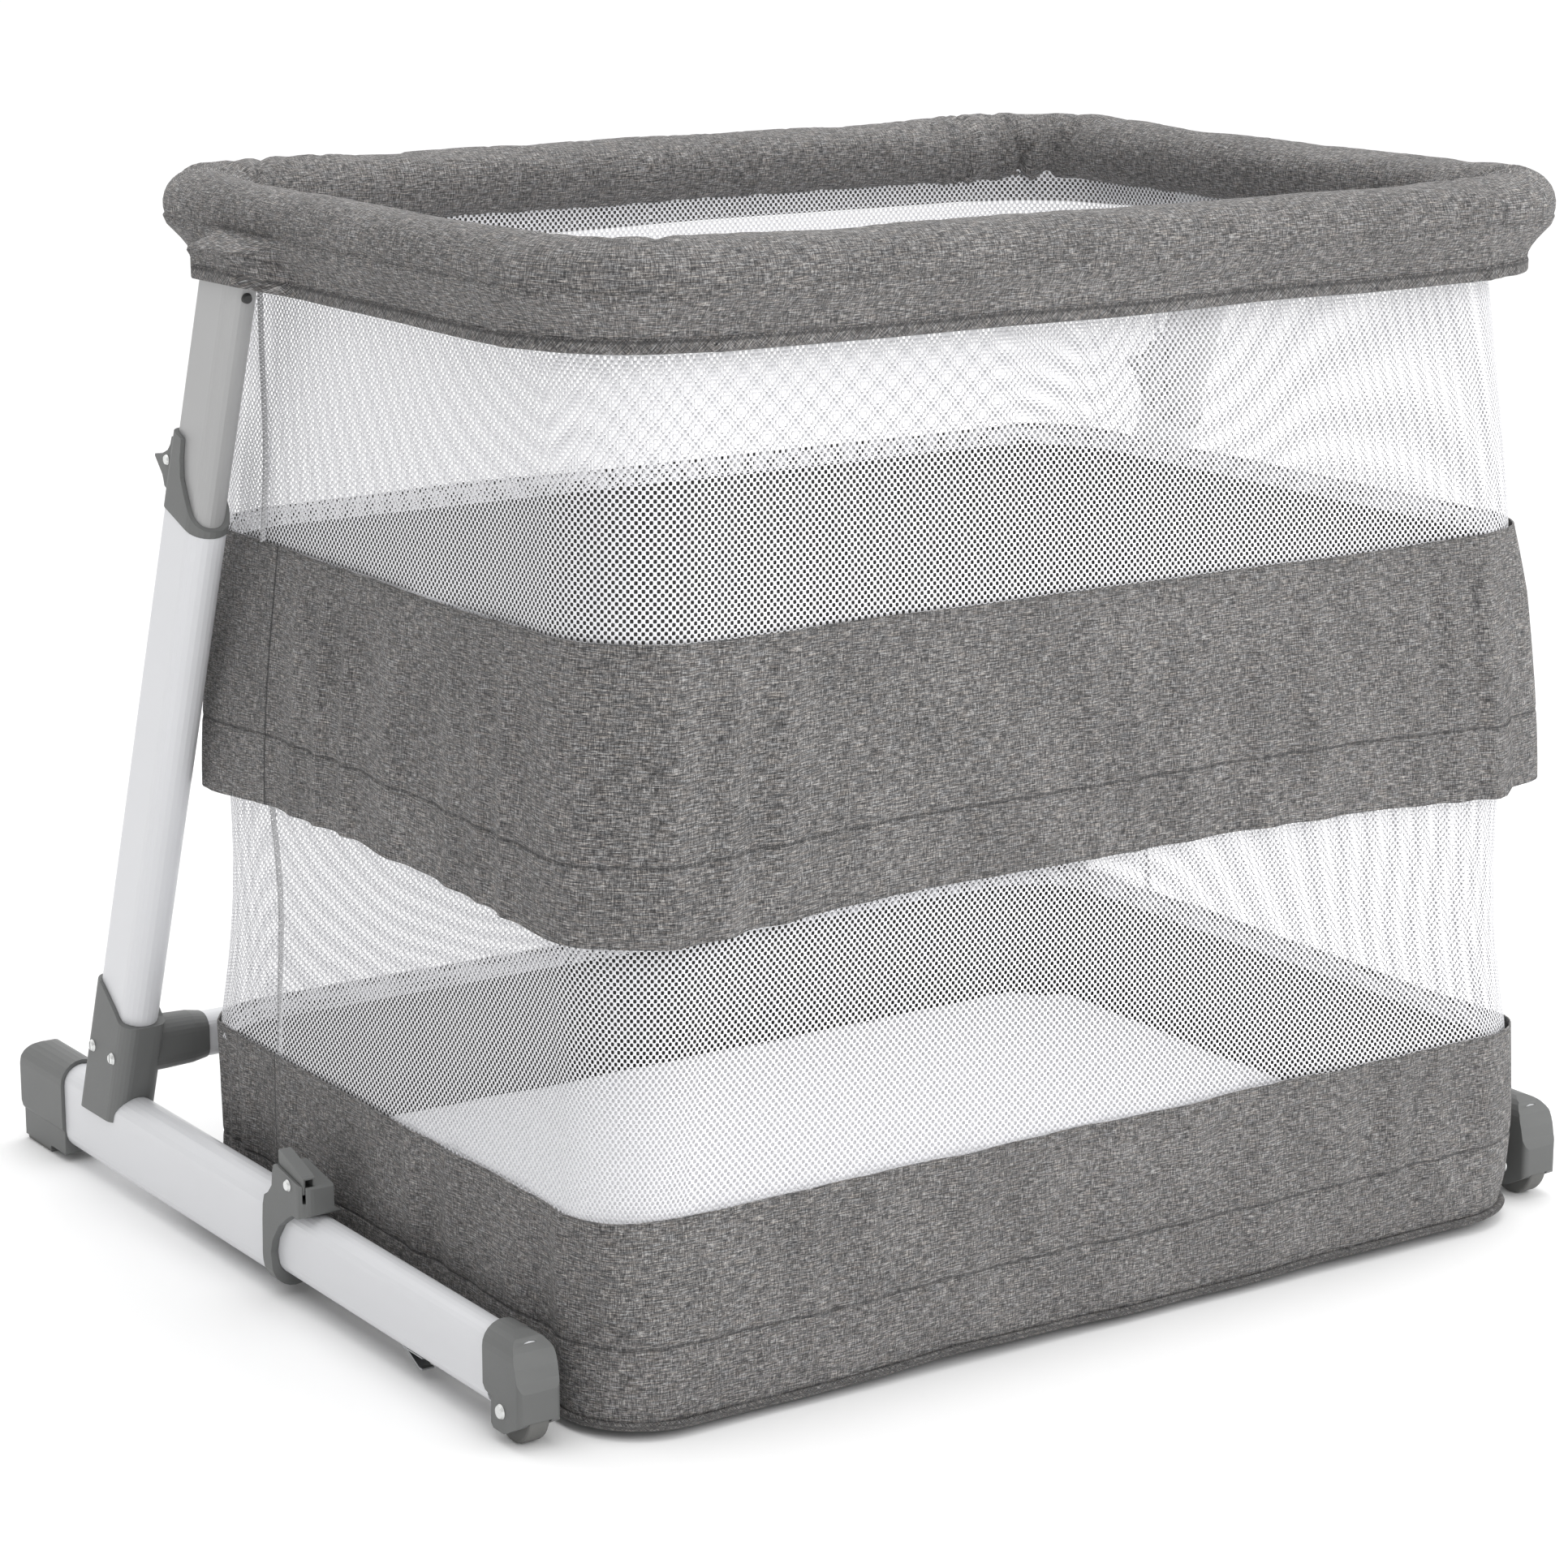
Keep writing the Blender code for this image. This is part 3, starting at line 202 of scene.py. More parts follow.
def drape(piece, held, growth, cap, pressure, frames):
    """Blows the piece up as cloth, keeps the result within cap of where it started, and leaves a plain
    mesh. held gives each vertex's hold from 0, free, to 1, sewn down; growth is the spare cloth."""
    scene = bpy.context.scene
    group = piece.vertex_groups.new(name="held")
    for index, weight in enumerate(held):
        if weight > 0:
            group.add([index], float(weight), "REPLACE")
    cloth = piece.modifiers.new("cloth", "CLOTH")
    settings = cloth.settings
    settings.quality = 6
    settings.mass = 0.25
    settings.tension_stiffness = settings.compression_stiffness = 18
    settings.shear_stiffness = 8
    settings.bending_stiffness = 0.4
    settings.air_damping = 3
    settings.vertex_group_mass = "held"
    settings.shrink_min = -growth
    settings.use_pressure = True
    settings.uniform_pressure_force = pressure
    settings.effector_weights.gravity = 0.0
    cloth.collision_settings.use_collision = False
    cloth.point_cache.frame_start, cloth.point_cache.frame_end = 1, frames
    for number in range(1, frames + 1):
        scene.frame_set(number)
    graph = bpy.context.evaluated_depsgraph_get()
    moved = np.empty(len(piece.data.vertices) * 3, np.float32)
    evaluated = piece.evaluated_get(graph).to_mesh()
    evaluated.vertices.foreach_get("co", moved)
    start = np.empty_like(moved)
    piece.data.vertices.foreach_get("co", start)
    shift = (moved - start).reshape(-1, 3)
    far = np.maximum(np.linalg.norm(shift, axis=1, keepdims=True), 1e-9)
    shift *= cap * np.tanh(far / cap) / far
    piece.modifiers.clear()
    piece.vertex_groups.clear()
    piece.data.vertices.foreach_set("co", (start.reshape(-1, 3) + shift).ravel())
    piece.data.update()
    scene.frame_set(1)


# ---- node helpers -------------------------------------------------------------------------------------
class Nodes:
    """Short names for building a material's node tree."""

    def __init__(self, name):
        self.material = bpy.data.materials.new(name)
        self.material.use_nodes = True
        self.tree = self.material.node_tree
        self.shader = self.tree.nodes["Principled BSDF"]

    def add(self, kind, **values):
        node = self.tree.nodes.new(kind)
        for key, value in values.items():
            setattr(node, key, value)
        return node

    def link(self, source, target):
        self.tree.links.new(source, target)

    def put(self, socket, value):
        if isinstance(value, bpy.types.NodeSocket):
            self.link(value, socket)
        else:
            socket.default_value = value

    def math(self, operation, a, b=None):
        node = self.add("ShaderNodeMath", operation=operation)
        self.put(node.inputs[0], a)
        if b is not None:
            self.put(node.inputs[1], b)
        return node.outputs[0]

    def smooth(self, value, low, high, to_low=0.0, to_high=1.0):
        node = self.add("ShaderNodeMapRange", interpolation_type="SMOOTHSTEP")
        for socket, item in zip(node.inputs, (value, low, high, to_low, to_high)):
            self.put(socket, item)
        return node.outputs[0]

    def noise(self, vector, scale, detail=2.0, rough=0.5):
        node = self.add("ShaderNodeTexNoise")
        self.put(node.inputs["Vector"], vector)
        self.put(node.inputs["Scale"], scale)
        self.put(node.inputs["Detail"], detail)
        self.put(node.inputs["Roughness"], rough)
        return node.outputs["Fac"]

    def mapping(self, vector, scale=(1, 1, 1), turn=0.0):
        node = self.add("ShaderNodeMapping")
        self.put(node.inputs["Vector"], vector)
        node.inputs["Scale"].default_value = scale
        node.inputs["Rotation"].default_value = (0, 0, turn)
        return node.outputs[0]

    def mix(self, factor, a, b, blend="MIX"):
        node = self.add("ShaderNodeMix", data_type="RGBA", blend_type=blend)
        self.put(node.inputs["Factor"], factor)
        self.put(node.inputs[6], (*a, 1) if isinstance(a, tuple) else a)
        self.put(node.inputs[7], (*b, 1) if isinstance(b, tuple) else b)
        return node.outputs[2]

    def ramp(self, value, stops):
        node = self.add("ShaderNodeValToRGB")
        self.put(node.inputs[0], value)
        ramp = node.color_ramp
        while len(ramp.elements) < len(stops):
            ramp.elements.new(0.5)
        for element, (place, colour) in zip(ramp.elements, stops):
            element.position = place
            element.color = (*colour, 1)
        return node.outputs[0]

    def bump(self, height, distance, strength=1.0, under=None):
        node = self.add("ShaderNodeBump")
        node.inputs["Distance"].default_value = distance
        node.inputs["Strength"].default_value = strength
        self.put(node.inputs["Height"], height)
        if under is not None:
            self.link(under, node.inputs["Normal"])
        return node.outputs[0]

    def finish(self, colour, rough, normal=None, **fixed):
        self.put(self.shader.inputs["Base Color"], colour)
        self.put(self.shader.inputs["Roughness"], rough)
        if normal is not None:
            self.link(normal, self.shader.inputs["Normal"])
        for key, value in fixed.items():
            self.put(self.shader.inputs[key.replace("_", " ")], value)
        return self.material


# ---- materials ----------------------------------------------------------------------------------------
def heather(name, seams=(), uprights=(), turn=0.0, tone=1.0):
    """Grey melange cloth: light, dark and tinted threads both ways, slubs and a plain weave. seams are
    heights (v) and uprights are ways round (u), in metres, of stitched seams, whose grooves carry painted
    shade."""
    n = Nodes(name)
    uv = n.add("ShaderNodeUVMap", uv_map="cloth").outputs[0]
    flat = n.mapping(uv, turn=turn) if turn else uv
    weft = n.noise(n.mapping(flat, (165, 1900, 1)), 1.0, 2.0, 0.6)
    warp = n.noise(n.mapping(flat, (1800, 190, 1)), 1.0, 2.0, 0.6)
    slub = n.noise(n.mapping(flat, (75, 950, 1)), 1.0, 2.0, 0.6)
    upright = n.noise(n.mapping(flat, (950, 100, 1)), 1.0, 2.0, 0.6)
    fleck = n.noise(n.mapping(flat, (520, 900, 1)), 1.0, 1.0, 0.5)
    cloud = n.noise(flat, 14.0, 2.0, 0.5)
    threads = n.math("ADD", n.math("MULTIPLY", weft, 0.56), n.math("MULTIPLY", warp, 0.44))
    for layer, share in ((slub, 0.40), (upright, 0.30), (fleck, 0.16), (cloud, 0.07)):
        threads = n.math("ADD", threads, n.math("MULTIPLY", n.math("SUBTRACT", layer, 0.5), share))
    grey = n.ramp(threads, [(0.33, (0.020 * tone, 0.020 * tone, 0.021 * tone)),
                            (0.44, (0.085 * tone, 0.083 * tone, 0.083 * tone)),
                            (0.54, (0.215 * tone, 0.206 * tone, 0.202 * tone)),
                            (0.66, (0.560 * tone, 0.545 * tone, 0.530 * tone))])
    tint = n.ramp(n.noise(n.mapping(flat, (70, 900, 1)), 1.0, 2.0, 0.5),
                  [(0.36, (0.92, 0.97, 1.02)), (0.50, (1.0, 1.0, 1.0)), (0.64, (1.06, 0.99, 0.92))])
    colour = n.mix(0.7, grey, n.mix(1.0, grey, tint, "MULTIPLY"))
    split = n.add("ShaderNodeSeparateXYZ")
    n.link(flat, split.inputs[0])
    beat_u = n.math("MULTIPLY", split.outputs[0], 2 * math.pi / THREAD_ACROSS)
    beat_v = n.math("MULTIPLY", split.outputs[1], 2 * math.pi / THREAD_UP)
    weave = n.math("MULTIPLY", n.math("SINE", beat_u), n.math("SINE", beat_v))
    height = n.math("ADD", n.math("MULTIPLY", weave, 0.35), threads)
    normal = n.bump(height, 0.0007, 0.9)
    plain = n.add("ShaderNodeSeparateXYZ")
    n.link(uv, plain.inputs[0])
    along, up = plain.outputs[0], plain.outputs[1]
    for place, over, beside in [(v, along, up) for v in seams] + [(u, up, along) for u in uprights]:
        off = n.math("ABSOLUTE", n.math("SUBTRACT", beside, place))
        groove_and_painted_shade = n.smooth(off, 0.0002, 0.0016, 1.0, 0.0)
        beat = n.math("SINE", n.math("MULTIPLY", over, 2 * math.pi / STITCH))
        stitch = n.math("MULTIPLY", n.smooth(off, 0.0003, 0.0007, 1.0, 0.0), n.smooth(beat, -0.4, 0.1))
        dark = 0.42 if over is along else 0.85
        # painted shade: along each seam's groove the cloth colour is drawn towards near-black, by 0.42 on
        # height seams and 0.85 on upright ones
        colour = n.mix(n.math("MULTIPLY", groove_and_painted_shade, dark), colour, (0.022, 0.022, 0.024))
        colour = n.mix(n.math("MULTIPLY", stitch, 0.55), colour, (0.10, 0.10, 0.10))
        normal = n.bump(n.math("SUBTRACT", stitch, n.math("MULTIPLY", groove_and_painted_shade, 1.4)), 0.0008, 0.9, normal)
    return n.finish(colour, 0.93, normal, Sheen_Weight=0.10, Sheen_Roughness=0.5)


def net_cloth(name, open_share=0.08, cell=(0.0052, 0.0058), tone=0.90):
    """Knitted net: staggered round holes between white yarns, from two crossed cosines."""
    n = Nodes(name)
    uv = n.add("ShaderNodeUVMap", uv_map="cloth").outputs[0]
    wobble = n.noise(uv, 90.0, 1.0)
    split = n.add("ShaderNodeSeparateXYZ")
    n.link(uv, split.inputs[0])
    across = n.math("ADD", split.outputs[0], n.math("MULTIPLY", n.math("SUBTRACT", wobble, 0.5), 0.0006))
    wave = n.math("MULTIPLY", n.math("COSINE", n.math("MULTIPLY", across, 2 * math.pi / cell[0])),
                  n.math("COSINE", n.math("MULTIPLY", split.outputs[1], 2 * math.pi / cell[1])))
    cloth = n.smooth(wave, open_share - 0.05, open_share + 0.05, 1.0, 0.0)
    yarn = n.noise(n.mapping(uv, (1500, 700, 1)), 1.0, 2.0)
    colour = n.mix(yarn, (tone * 0.90, tone * 0.90, tone * 0.93), (tone, tone, tone * 1.02))
    normal = n.bump(n.math("ADD", n.math("MULTIPLY", wave, -0.8), n.math("MULTIPLY", yarn, 0.3)), 0.0006)
    return n.finish(colour, 0.75, normal, Alpha=cloth)


def bed_cloth():
    """White spacer mesh: closed, with a dimple at each staggered cell."""
    n = Nodes("mattress_cloth")
    uv = n.add("ShaderNodeUVMap", uv_map="cloth").outputs[0]
    split = n.add("ShaderNodeSeparateXYZ")
    n.link(uv, split.inputs[0])
    wave = n.math("MULTIPLY", n.math("COSINE", n.math("MULTIPLY", split.outputs[0], 2 * math.pi / 0.0050)),
                  n.math("COSINE", n.math("MULTIPLY", split.outputs[1], 2 * math.pi / 0.0043)))
    dimple = n.smooth(wave, 0.15, 0.55)
    fuzz = n.noise(n.mapping(uv, (900, 900, 1)), 1.0, 2.0)
    colour = n.mix(n.math("MULTIPLY", dimple, 0.45), (0.86, 0.86, 0.89), (0.70, 0.70, 0.76))
    colour = n.mix(n.math("MULTIPLY", fuzz, 0.25), colour, (0.90, 0.90, 0.92))
    normal = n.bump(n.math("SUBTRACT", fuzz, n.math("MULTIPLY", dimple, 2.0)), 0.0008)
    return n.finish(colour, 0.88, normal, Sheen_Weight=0.15)


def painted(name, colour, rough, metal=0.0):
    """Powder-coated steel: faint orange peel, soft cloudiness, and sharp edges lightened as a painted
    highlight.
    """
    n = Nodes(name)
    place = n.add("ShaderNodeTexCoord").outputs["Object"]
    peel = n.noise(place, 900.0, 2.0)
    cloud = n.noise(place, 9.0, 3.0)
    edge = n.smooth(n.add("ShaderNodeNewGeometry").outputs["Pointiness"], 0.53, 0.62)
    dull = tuple(c * 0.94 for c in colour)
    shade = n.mix(cloud, dull, colour)
    # painted highlight: sharp edges (pointiness) are made lighter
    shade = n.mix(n.math("MULTIPLY", edge, 0.25), shade, tuple(min(1.0, c * 1.12) for c in colour))
    return n.finish(shade, n.smooth(cloud, 0.3, 0.7, rough - 0.04, rough + 0.05), n.bump(peel, 0.00008, 0.6),
                    Metallic=metal, Coat_Weight=0.25, Coat_Roughness=0.25)


def moulded(name, colour, rough=0.5, grain=0.00012):
    """Injection-moulded plastic: fine spark-eroded grain, slight mottling, and sharp edges paler as a painted
    highlight.
    """
    n = Nodes(name)
    place = n.add("ShaderNodeTexCoord").outputs["Object"]
    fine = n.noise(place, 1600.0, 3.0, 0.7)
    cloud = n.noise(place, 22.0, 3.0)
    edge = n.smooth(n.add("ShaderNodeNewGeometry").outputs["Pointiness"], 0.52, 0.60)
    shade = n.mix(cloud, tuple(c * 0.90 for c in colour), tuple(c * 1.10 for c in colour))
    # painted highlight: sharp edges (pointiness) are made paler
    shade = n.mix(n.math("MULTIPLY", edge, 0.35), shade, tuple(c * 1.7 for c in colour))
    return n.finish(shade, n.smooth(fine, 0.3, 0.7, rough - 0.06, rough + 0.06), n.bump(fine, grain, 0.8))


def metal(name, colour, rough):
    """Plated steel with fine drawn scratches."""
    n = Nodes(name)
    place = n.add("ShaderNodeTexCoord").outputs["Object"]
    scratch = n.noise(n.mapping(place, (3000, 160, 3000)), 1.0, 2.0)
    return n.finish(n.mix(scratch, tuple(c * 0.85 for c in colour), colour),
                    n.smooth(scratch, 0.2, 0.8, rough - 0.08, rough + 0.1), n.bump(scratch, 0.00005, 0.5),
                    Metallic=1.0)


def painted_shadow_board():
    """Fibreboard coloured near-black as painted shadow, so that what shows below the base's hem reads as
    shade; its fibre grain is its own.
    """
    n = Nodes("fibreboard")
    place = n.add("ShaderNodeTexCoord").outputs["Object"]
    fibre = n.noise(n.mapping(place, (60, 700, 400)), 1.0, 4.0, 0.6)
    # painted shadow: near-black colours stand in for the shade under the base's hem
    colour = n.ramp(fibre, [(0.3, (0.030, 0.030, 0.032)), (0.6, (0.055, 0.055, 0.057))])
    return n.finish(colour, 0.8, n.bump(fibre, 0.0003))


def paint_frame():
    """Gives every CAD node that stays in view its finish."""
    finishes = {
        "white": painted("white_coat", (0.70, 0.705, 0.725), 0.36),
        "silver": painted("silver_coat", (0.40, 0.40, 0.40), 0.40, 0.10),
        "plastic": moulded("grey_plastic", (0.118, 0.121, 0.119)),
        "dark": moulded("dark_plastic", (0.035, 0.035, 0.035), 0.6),
        "rubber": moulded("grey_rubber", (0.125, 0.125, 0.120), 0.72, 0.0002),
        "zinc": metal("zinc_plate", (0.78, 0.79, 0.78), 0.28),
        "steel": metal("plain_steel", (0.42, 0.43, 0.44), 0.4),
        "painted_shadow_board": painted_shadow_board(),
    }
    starts = {
        "leg_tube": "white", "foot_tube": "white", "inner_foot": "white", "rear_crossbar": "white",
        "upper_tube": "silver", "knuckle_screw": "zinc", "clamp_screw": "zinc", "latch_rivet": "zinc",
        "axle": "zinc", "knuckle_L": "plastic", "knuckle_R": "plastic", "leg_collar": "plastic",
        "leg_latch": "plastic", "foot_clamp": "plastic", "foot_lever": "plastic", "rear_cap": "plastic",
        "front_cap": "plastic", "base_glide": "dark", "leg_pin": "dark", "rear_pad": "rubber",
        "wheel": "rubber", "rim_tube": "steel", "rim_bracket": "steel", "foot_leaf": "steel",
        "base_board": "painted_shadow_board",
    }
    for name, node in NODES.items():
        for start, finish in starts.items():
            if name.startswith(start):
                node.data.materials.clear()
                node.data.materials.append(finishes[finish])


# ---- soft goods ---------------------------------------------------------------------------------------
def spread(low, high, count):
    """Evenly spaced values, both ends included."""
    return [low + (high - low) * k / (count - 1) for k in range(count)]


def leg_swell(x, y):
    """Share of the valance's swell, 0 to 1, where it passes over the head of a leg."""
    if abs(x) < RIM_HALF[0] - 0.04:
        return 0.0
    across = max(0.0, abs(y - LEG_HEAD_Y) - 0.030) / 0.024
    return math.exp(-across * across * 2.0)


def corner_places():
    """How far round the rim each corner's middle lies: back left, front left, front right, back right."""
    long_side, short_side = RIM_HALF[0] - RIM_CORNER, RIM_HALF[1] - RIM_CORNER
    bend = math.pi / 2 * RIM_CORNER
    first = long_side + bend / 2
    second = first + bend + 2 * short_side
    third = second + bend + 2 * long_side
    return first, second, third, third + bend + 2 * short_side


# Gathers in each corner, from its middle: way round, depth and half width in metres, and a slope.
GATHERS = (
    ((-0.095, 0.0022, 0.0045, 0.50), (-0.052, 0.0030, 0.0040, 0.30), (-0.018, 0.0034, 0.0034, -0.08),
     (0.022, 0.0026, 0.0040, 0.12)),
    ((-0.050, 0.0014, 0.0050, 0.10), (0.038, 0.0014, 0.0050, 0.15)),
    ((-0.020, 0.0026, 0.0032, 0.08), (0.006, 0.0034, 0.0028, -0.05), (0.026, 0.0032, 0.0028, 0.10)),
    ((-0.062, 0.0018, 0.0080, 0.35), (-0.015, 0.0028, 0.0055, 0.30), (0.045, 0.0040, 0.0038, -0.12),
     (0.088, 0.0036, 0.0030, 0.05), (0.098, 0.0026, 0.0024, 0.05)),
)


def gathers(s, angle):
    """Depth of the corner gathers at a way round s; angle says where on the tube's section, from outside."""
    inner = 0.5 - 0.5 * math.cos(min(max(angle, 0.0), math.pi))
    total = 0.0
    for middle, creases in zip(corner_places(), GATHERS):
        if abs(s - middle) > 0.16:
            continue
        for offset, depth, width, slant in creases:
            away = s - middle - offset - slant * 0.09 * (angle - 2.0)
            valley = math.exp(-(away / width) ** 2)
            ridge = math.exp(-((abs(away) - 3.0 * width) / (2.0 * width)) ** 2)
            total += 1.6 * depth * (0.50 * ridge - valley) * (0.25 + 0.75 * inner)
    return total


def build_rim():
    """A padded tube of cloth, and the valance sewn to it below, closed with a bias binding."""
    wide, tall = PAD_HALF

    def rim_row(out, up):
        return (RIM_HALF[0] + out, RIM_HALF[1] + out, RIM_CORNER + out, RIM_Z + up, RIM_Y)

    turns = 30
    angles = [math.radians(-90 + 360 * k / turns) for k in range(turns)]
    # The cover reaches lower on its inner side, where it is sewn to the net.
    section = [((wide - 0.0012) * math.cos(a), (tall - 0.0012) * math.sin(a) *
                (1.0 + 0.42 * min(1.0, -1.4 * math.cos(a)) if math.cos(a) < 0 > math.sin(a) else 1.0))
               for a in angles]

    def shape(x, y, z, row, nx, ny, s):
        a = angles[row]
        inner = max(0.0, -math.cos(a))
        swell = gathers(s, abs(a) if a > -0.5 else 0.0)
        swell += 0.0009 * ripple(x, y, z, 5.5, 70.0, 20.0) * inner
        swell += 0.0008 * ripple(x, y, z, 3.1, 11.0, 8.0)
        return swell * math.cos(a), swell * math.sin(a) + 0.0006 * ripple(x, y, 0.0, 8.0, 7.0, 1.0)

    cover = cloth_grid("rim_cover", [rim_row(*p) for p in section], heather("rim_cloth"), shape, shut=True)
    held = np.zeros((turns, len(cover.data.vertices) // turns))
    ring, _ = plan_ring(*RIM_HALF, RIM_CORNER, RIM_Y)
    held[:] = [min(1.0, abs(gathers(s, 2.2)) / 0.0008) for s in way_round(ring)[:-1]]
    held[[-4, -1, *range(9)]] = 1.0     # the seams, and all that the valance covers
    drape(cover, held.ravel(), growth=0.005, cap=MOST_SWELL, pressure=3.0, frames=16)
    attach(cover, "rim")
    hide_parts("rim_pad")

    drop = HEM_LOW.z + 0.0100 - RIM_Z
    line = [(0.0285, -0.0050), (0.0321, -0.0090), (0.0312, -0.0145), (0.0272, -0.0200), (0.0238, -0.0250),
            (0.0214, -0.0300), (0.0202, -0.0350), (0.0192, drop)]
    stand_out = LEG_OUTSIDE + 0.0040 - RIM_HALF[0] - line[-1][0]

    def hang_shape(hem):
        """Puckers, the swell over each leg with its hem drawn up, and the far ends pulled in."""
        def move(x, y, z, row, nx, ny, s):
            hang = 1.0 if hem else max(0.0, min(1.0, (row - 1) / 5.0))
            out = hang * (0.0022 * ripple(x, y, 0.0, 21.0, 15.0, 1.0) + 0.6 * gathers(s, 1.2))
            swell = leg_swell(x, y)
            out += stand_out * swell * min(1.0, hang * 2.2)
            out -= 0.0075 * hang * (1.0 - swell) * min(1.0, 4.0 * abs(nx * ny)) ** 0.5
            up = hang * (-0.0016 - 0.0026 * ripple(x, y, 0, 40.0, 5.0, 1.0)) + 0.0092 * hang * swell
            return out, up
        return move

    valance = cloth_grid("rim_valance_cloth", [rim_row(*p) for p in line], heather("valance_cloth"),
                         hang_shape(False))
    thicken(valance, 0.0012)
    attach(valance, "rim")
    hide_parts("rim_valance")

    low = HEM_LOW.z - RIM_Z + 0.0018
    lip = [(0.0172, drop + 0.0020), (0.0170, low + 0.0020), (0.0177, low + 0.0004), (0.0187, low),
           (0.0198, low + 0.0004), (0.0206, low + 0.0020), (0.0206, drop + 0.0006), (0.0199, drop + 0.0024)]
    hem = cloth_grid("rim_binding", [rim_row(*p) for p in lip],
                     heather("binding_cloth", seams=(-0.0205,), turn=math.radians(45), tone=0.90),
                     hang_shape(True))
    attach(hem, "rim")


def end_joins(half, corner, y):
    """How far round a band the upright joins of its two end walls lie."""
    left = half[0] + half[1] + BASKET_Y - corner * (2 - math.pi / 2) - y
    return left, 4 * (half[0] + half[1]) - corner * (8 - 2 * math.pi) - left


def near_corner(x, y, half, width):
    """1 at a corner of the basket's plan, falling to 0 over the width."""
    away = math.hypot(half[0] - abs(x), half[1] - abs(y - BASKET_Y))
    return math.exp(-(max(0.0, away - 0.04) / width) ** 2)


def folds(s, spacing, seed):
    """Rows of soft upright folds, unevenly spaced and fading in and out along the cloth."""
    phase = s / spacing + 0.8 * noise.noise(Vector((s * 9.0, seed, 0.0)))
    strength = 0.5 + noise.noise(Vector((s * 5.0, seed + 4.0, 0.0)))
    crest = 0.5 + 0.5 * math.sin(2 * math.pi * phase)
    return (crest ** 1.8 - 0.35) * max(0.0, strength)


def base_wave(x, y):
    """The base's lower edge lifts and dips along its length."""
    wave = 0.0026 * ripple(x, y, 0, 98.0, 9.0, 1.0)
    bow = 0.0034 * math.exp(-((x + 0.10) / 0.08) ** 2)
    rise = 0.0045 * min(1.0, max(0.0, (x - 0.02) / 0.38)) ** 1.5
    return wave + bow + rise


def wall_shape(depth, seed, fine):
    """Loose upright folds of the given depth."""
    def shape(x, y, z, row, nx, ny, s):
        return depth * ripple(x, y, z, seed, fine, 3.5), 0.0
    return shape


def waist(z, top, bottom, amount):
    """How far a wall is drawn in between two heights, most half way."""
    t = min(1.0, max(0.0, (z - bottom) / (top - bottom)))
    return -amount * math.sin(math.pi * t)


def blend_wall(piece):
    """Bakes the wall piece's placement into its mesh."""
    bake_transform(piece)


def build_nets():
    """The upper and lower net walls, and their turned-in edges."""
    net = net_cloth("net_cloth")

    rows = []
    top_half = (RIM_HALF[0] - 0.0160, RIM_HALF[1] - 0.0160)
    for z in spread(RIM_Z - 0.020, MID_HIGH.z - 0.006, 20):
        t = (z - MID_HIGH.z) / (RIM_Z - 0.020 - MID_HIGH.z)
        blend = max(0.0, t) ** 1.6
        half = [n + (r - n) * blend + waist(z, RIM_Z, MID_HIGH.z - 0.02, 0.0035)
                for n, r in zip(NET_HALF, top_half)]
        rows.append((*half, NET_CORNER, z, BASKET_Y + (RIM_Y - BASKET_Y) * blend))
    upper = cloth_grid("upper_net_cloth", rows, net, wall_shape(0.0022, 61.0, 9.0))
    blend_wall(upper)
    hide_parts("upper_net")

    rows = []
    for z in spread(MID_LOW.z + 0.030, BAND_HIGH.z - 0.008, 18):
        t = (z - BAND_HIGH.z) / (MID_LOW.z - BAND_HIGH.z)
        half = [b - 0.0030 + (n - b + 0.0030) * t + waist(z, MID_LOW.z, BAND_HIGH.z, 0.0045)
                for n, b in zip(NET_HALF, BAND_HALF)]
        rows.append((*half, BAND_CORNER - 0.003 + (NET_CORNER - BAND_CORNER + 0.003) * t, z, BASKET_Y))
    lower = cloth_grid("lower_net_cloth", rows, net, wall_shape(0.0022, 71.0, 9.0))
    blend_wall(lower)
    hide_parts("lower_net")

    # The nets' turned-in edges lie inside the grey bands, as a second layer of net.
    turned = net_cloth("net_edge_cloth", open_share=0.20, tone=0.84)
    for name, high, half, corner in (("mid_net_edge", MID_HIGH.z - 0.002, NET_HALF, NET_CORNER),
                                     ("base_net_edge", BAND_HIGH.z - 0.002, BAND_HALF, BAND_CORNER)):
        rows = [(half[0] - EDGE_INSET, half[1] - EDGE_INSET, corner, z, BASKET_Y)
                for z in spread(high, high - EDGE_DEEP, 5)]
        edge = cloth_grid(name, rows, turned, wall_shape(0.0015, 75.0, 12.0))
        blend_wall(edge)


def band_heights(top, seam, low, above, below):
    """Heights of a band's rows from the top down, with three close together at its stitched seam."""
    return spread(top, seam + 0.004, above) + spread(seam + 0.0012, seam - 0.0012, 3) + \
        spread(seam - 0.004, low, below)


def seam_dent(row, first, deep):
    """How far the stitching draws in the three rows from first, most at the middle one."""
    if not first <= row < first + 3:
        return 0.0
    return deep if row == first + 1 else 0.0004


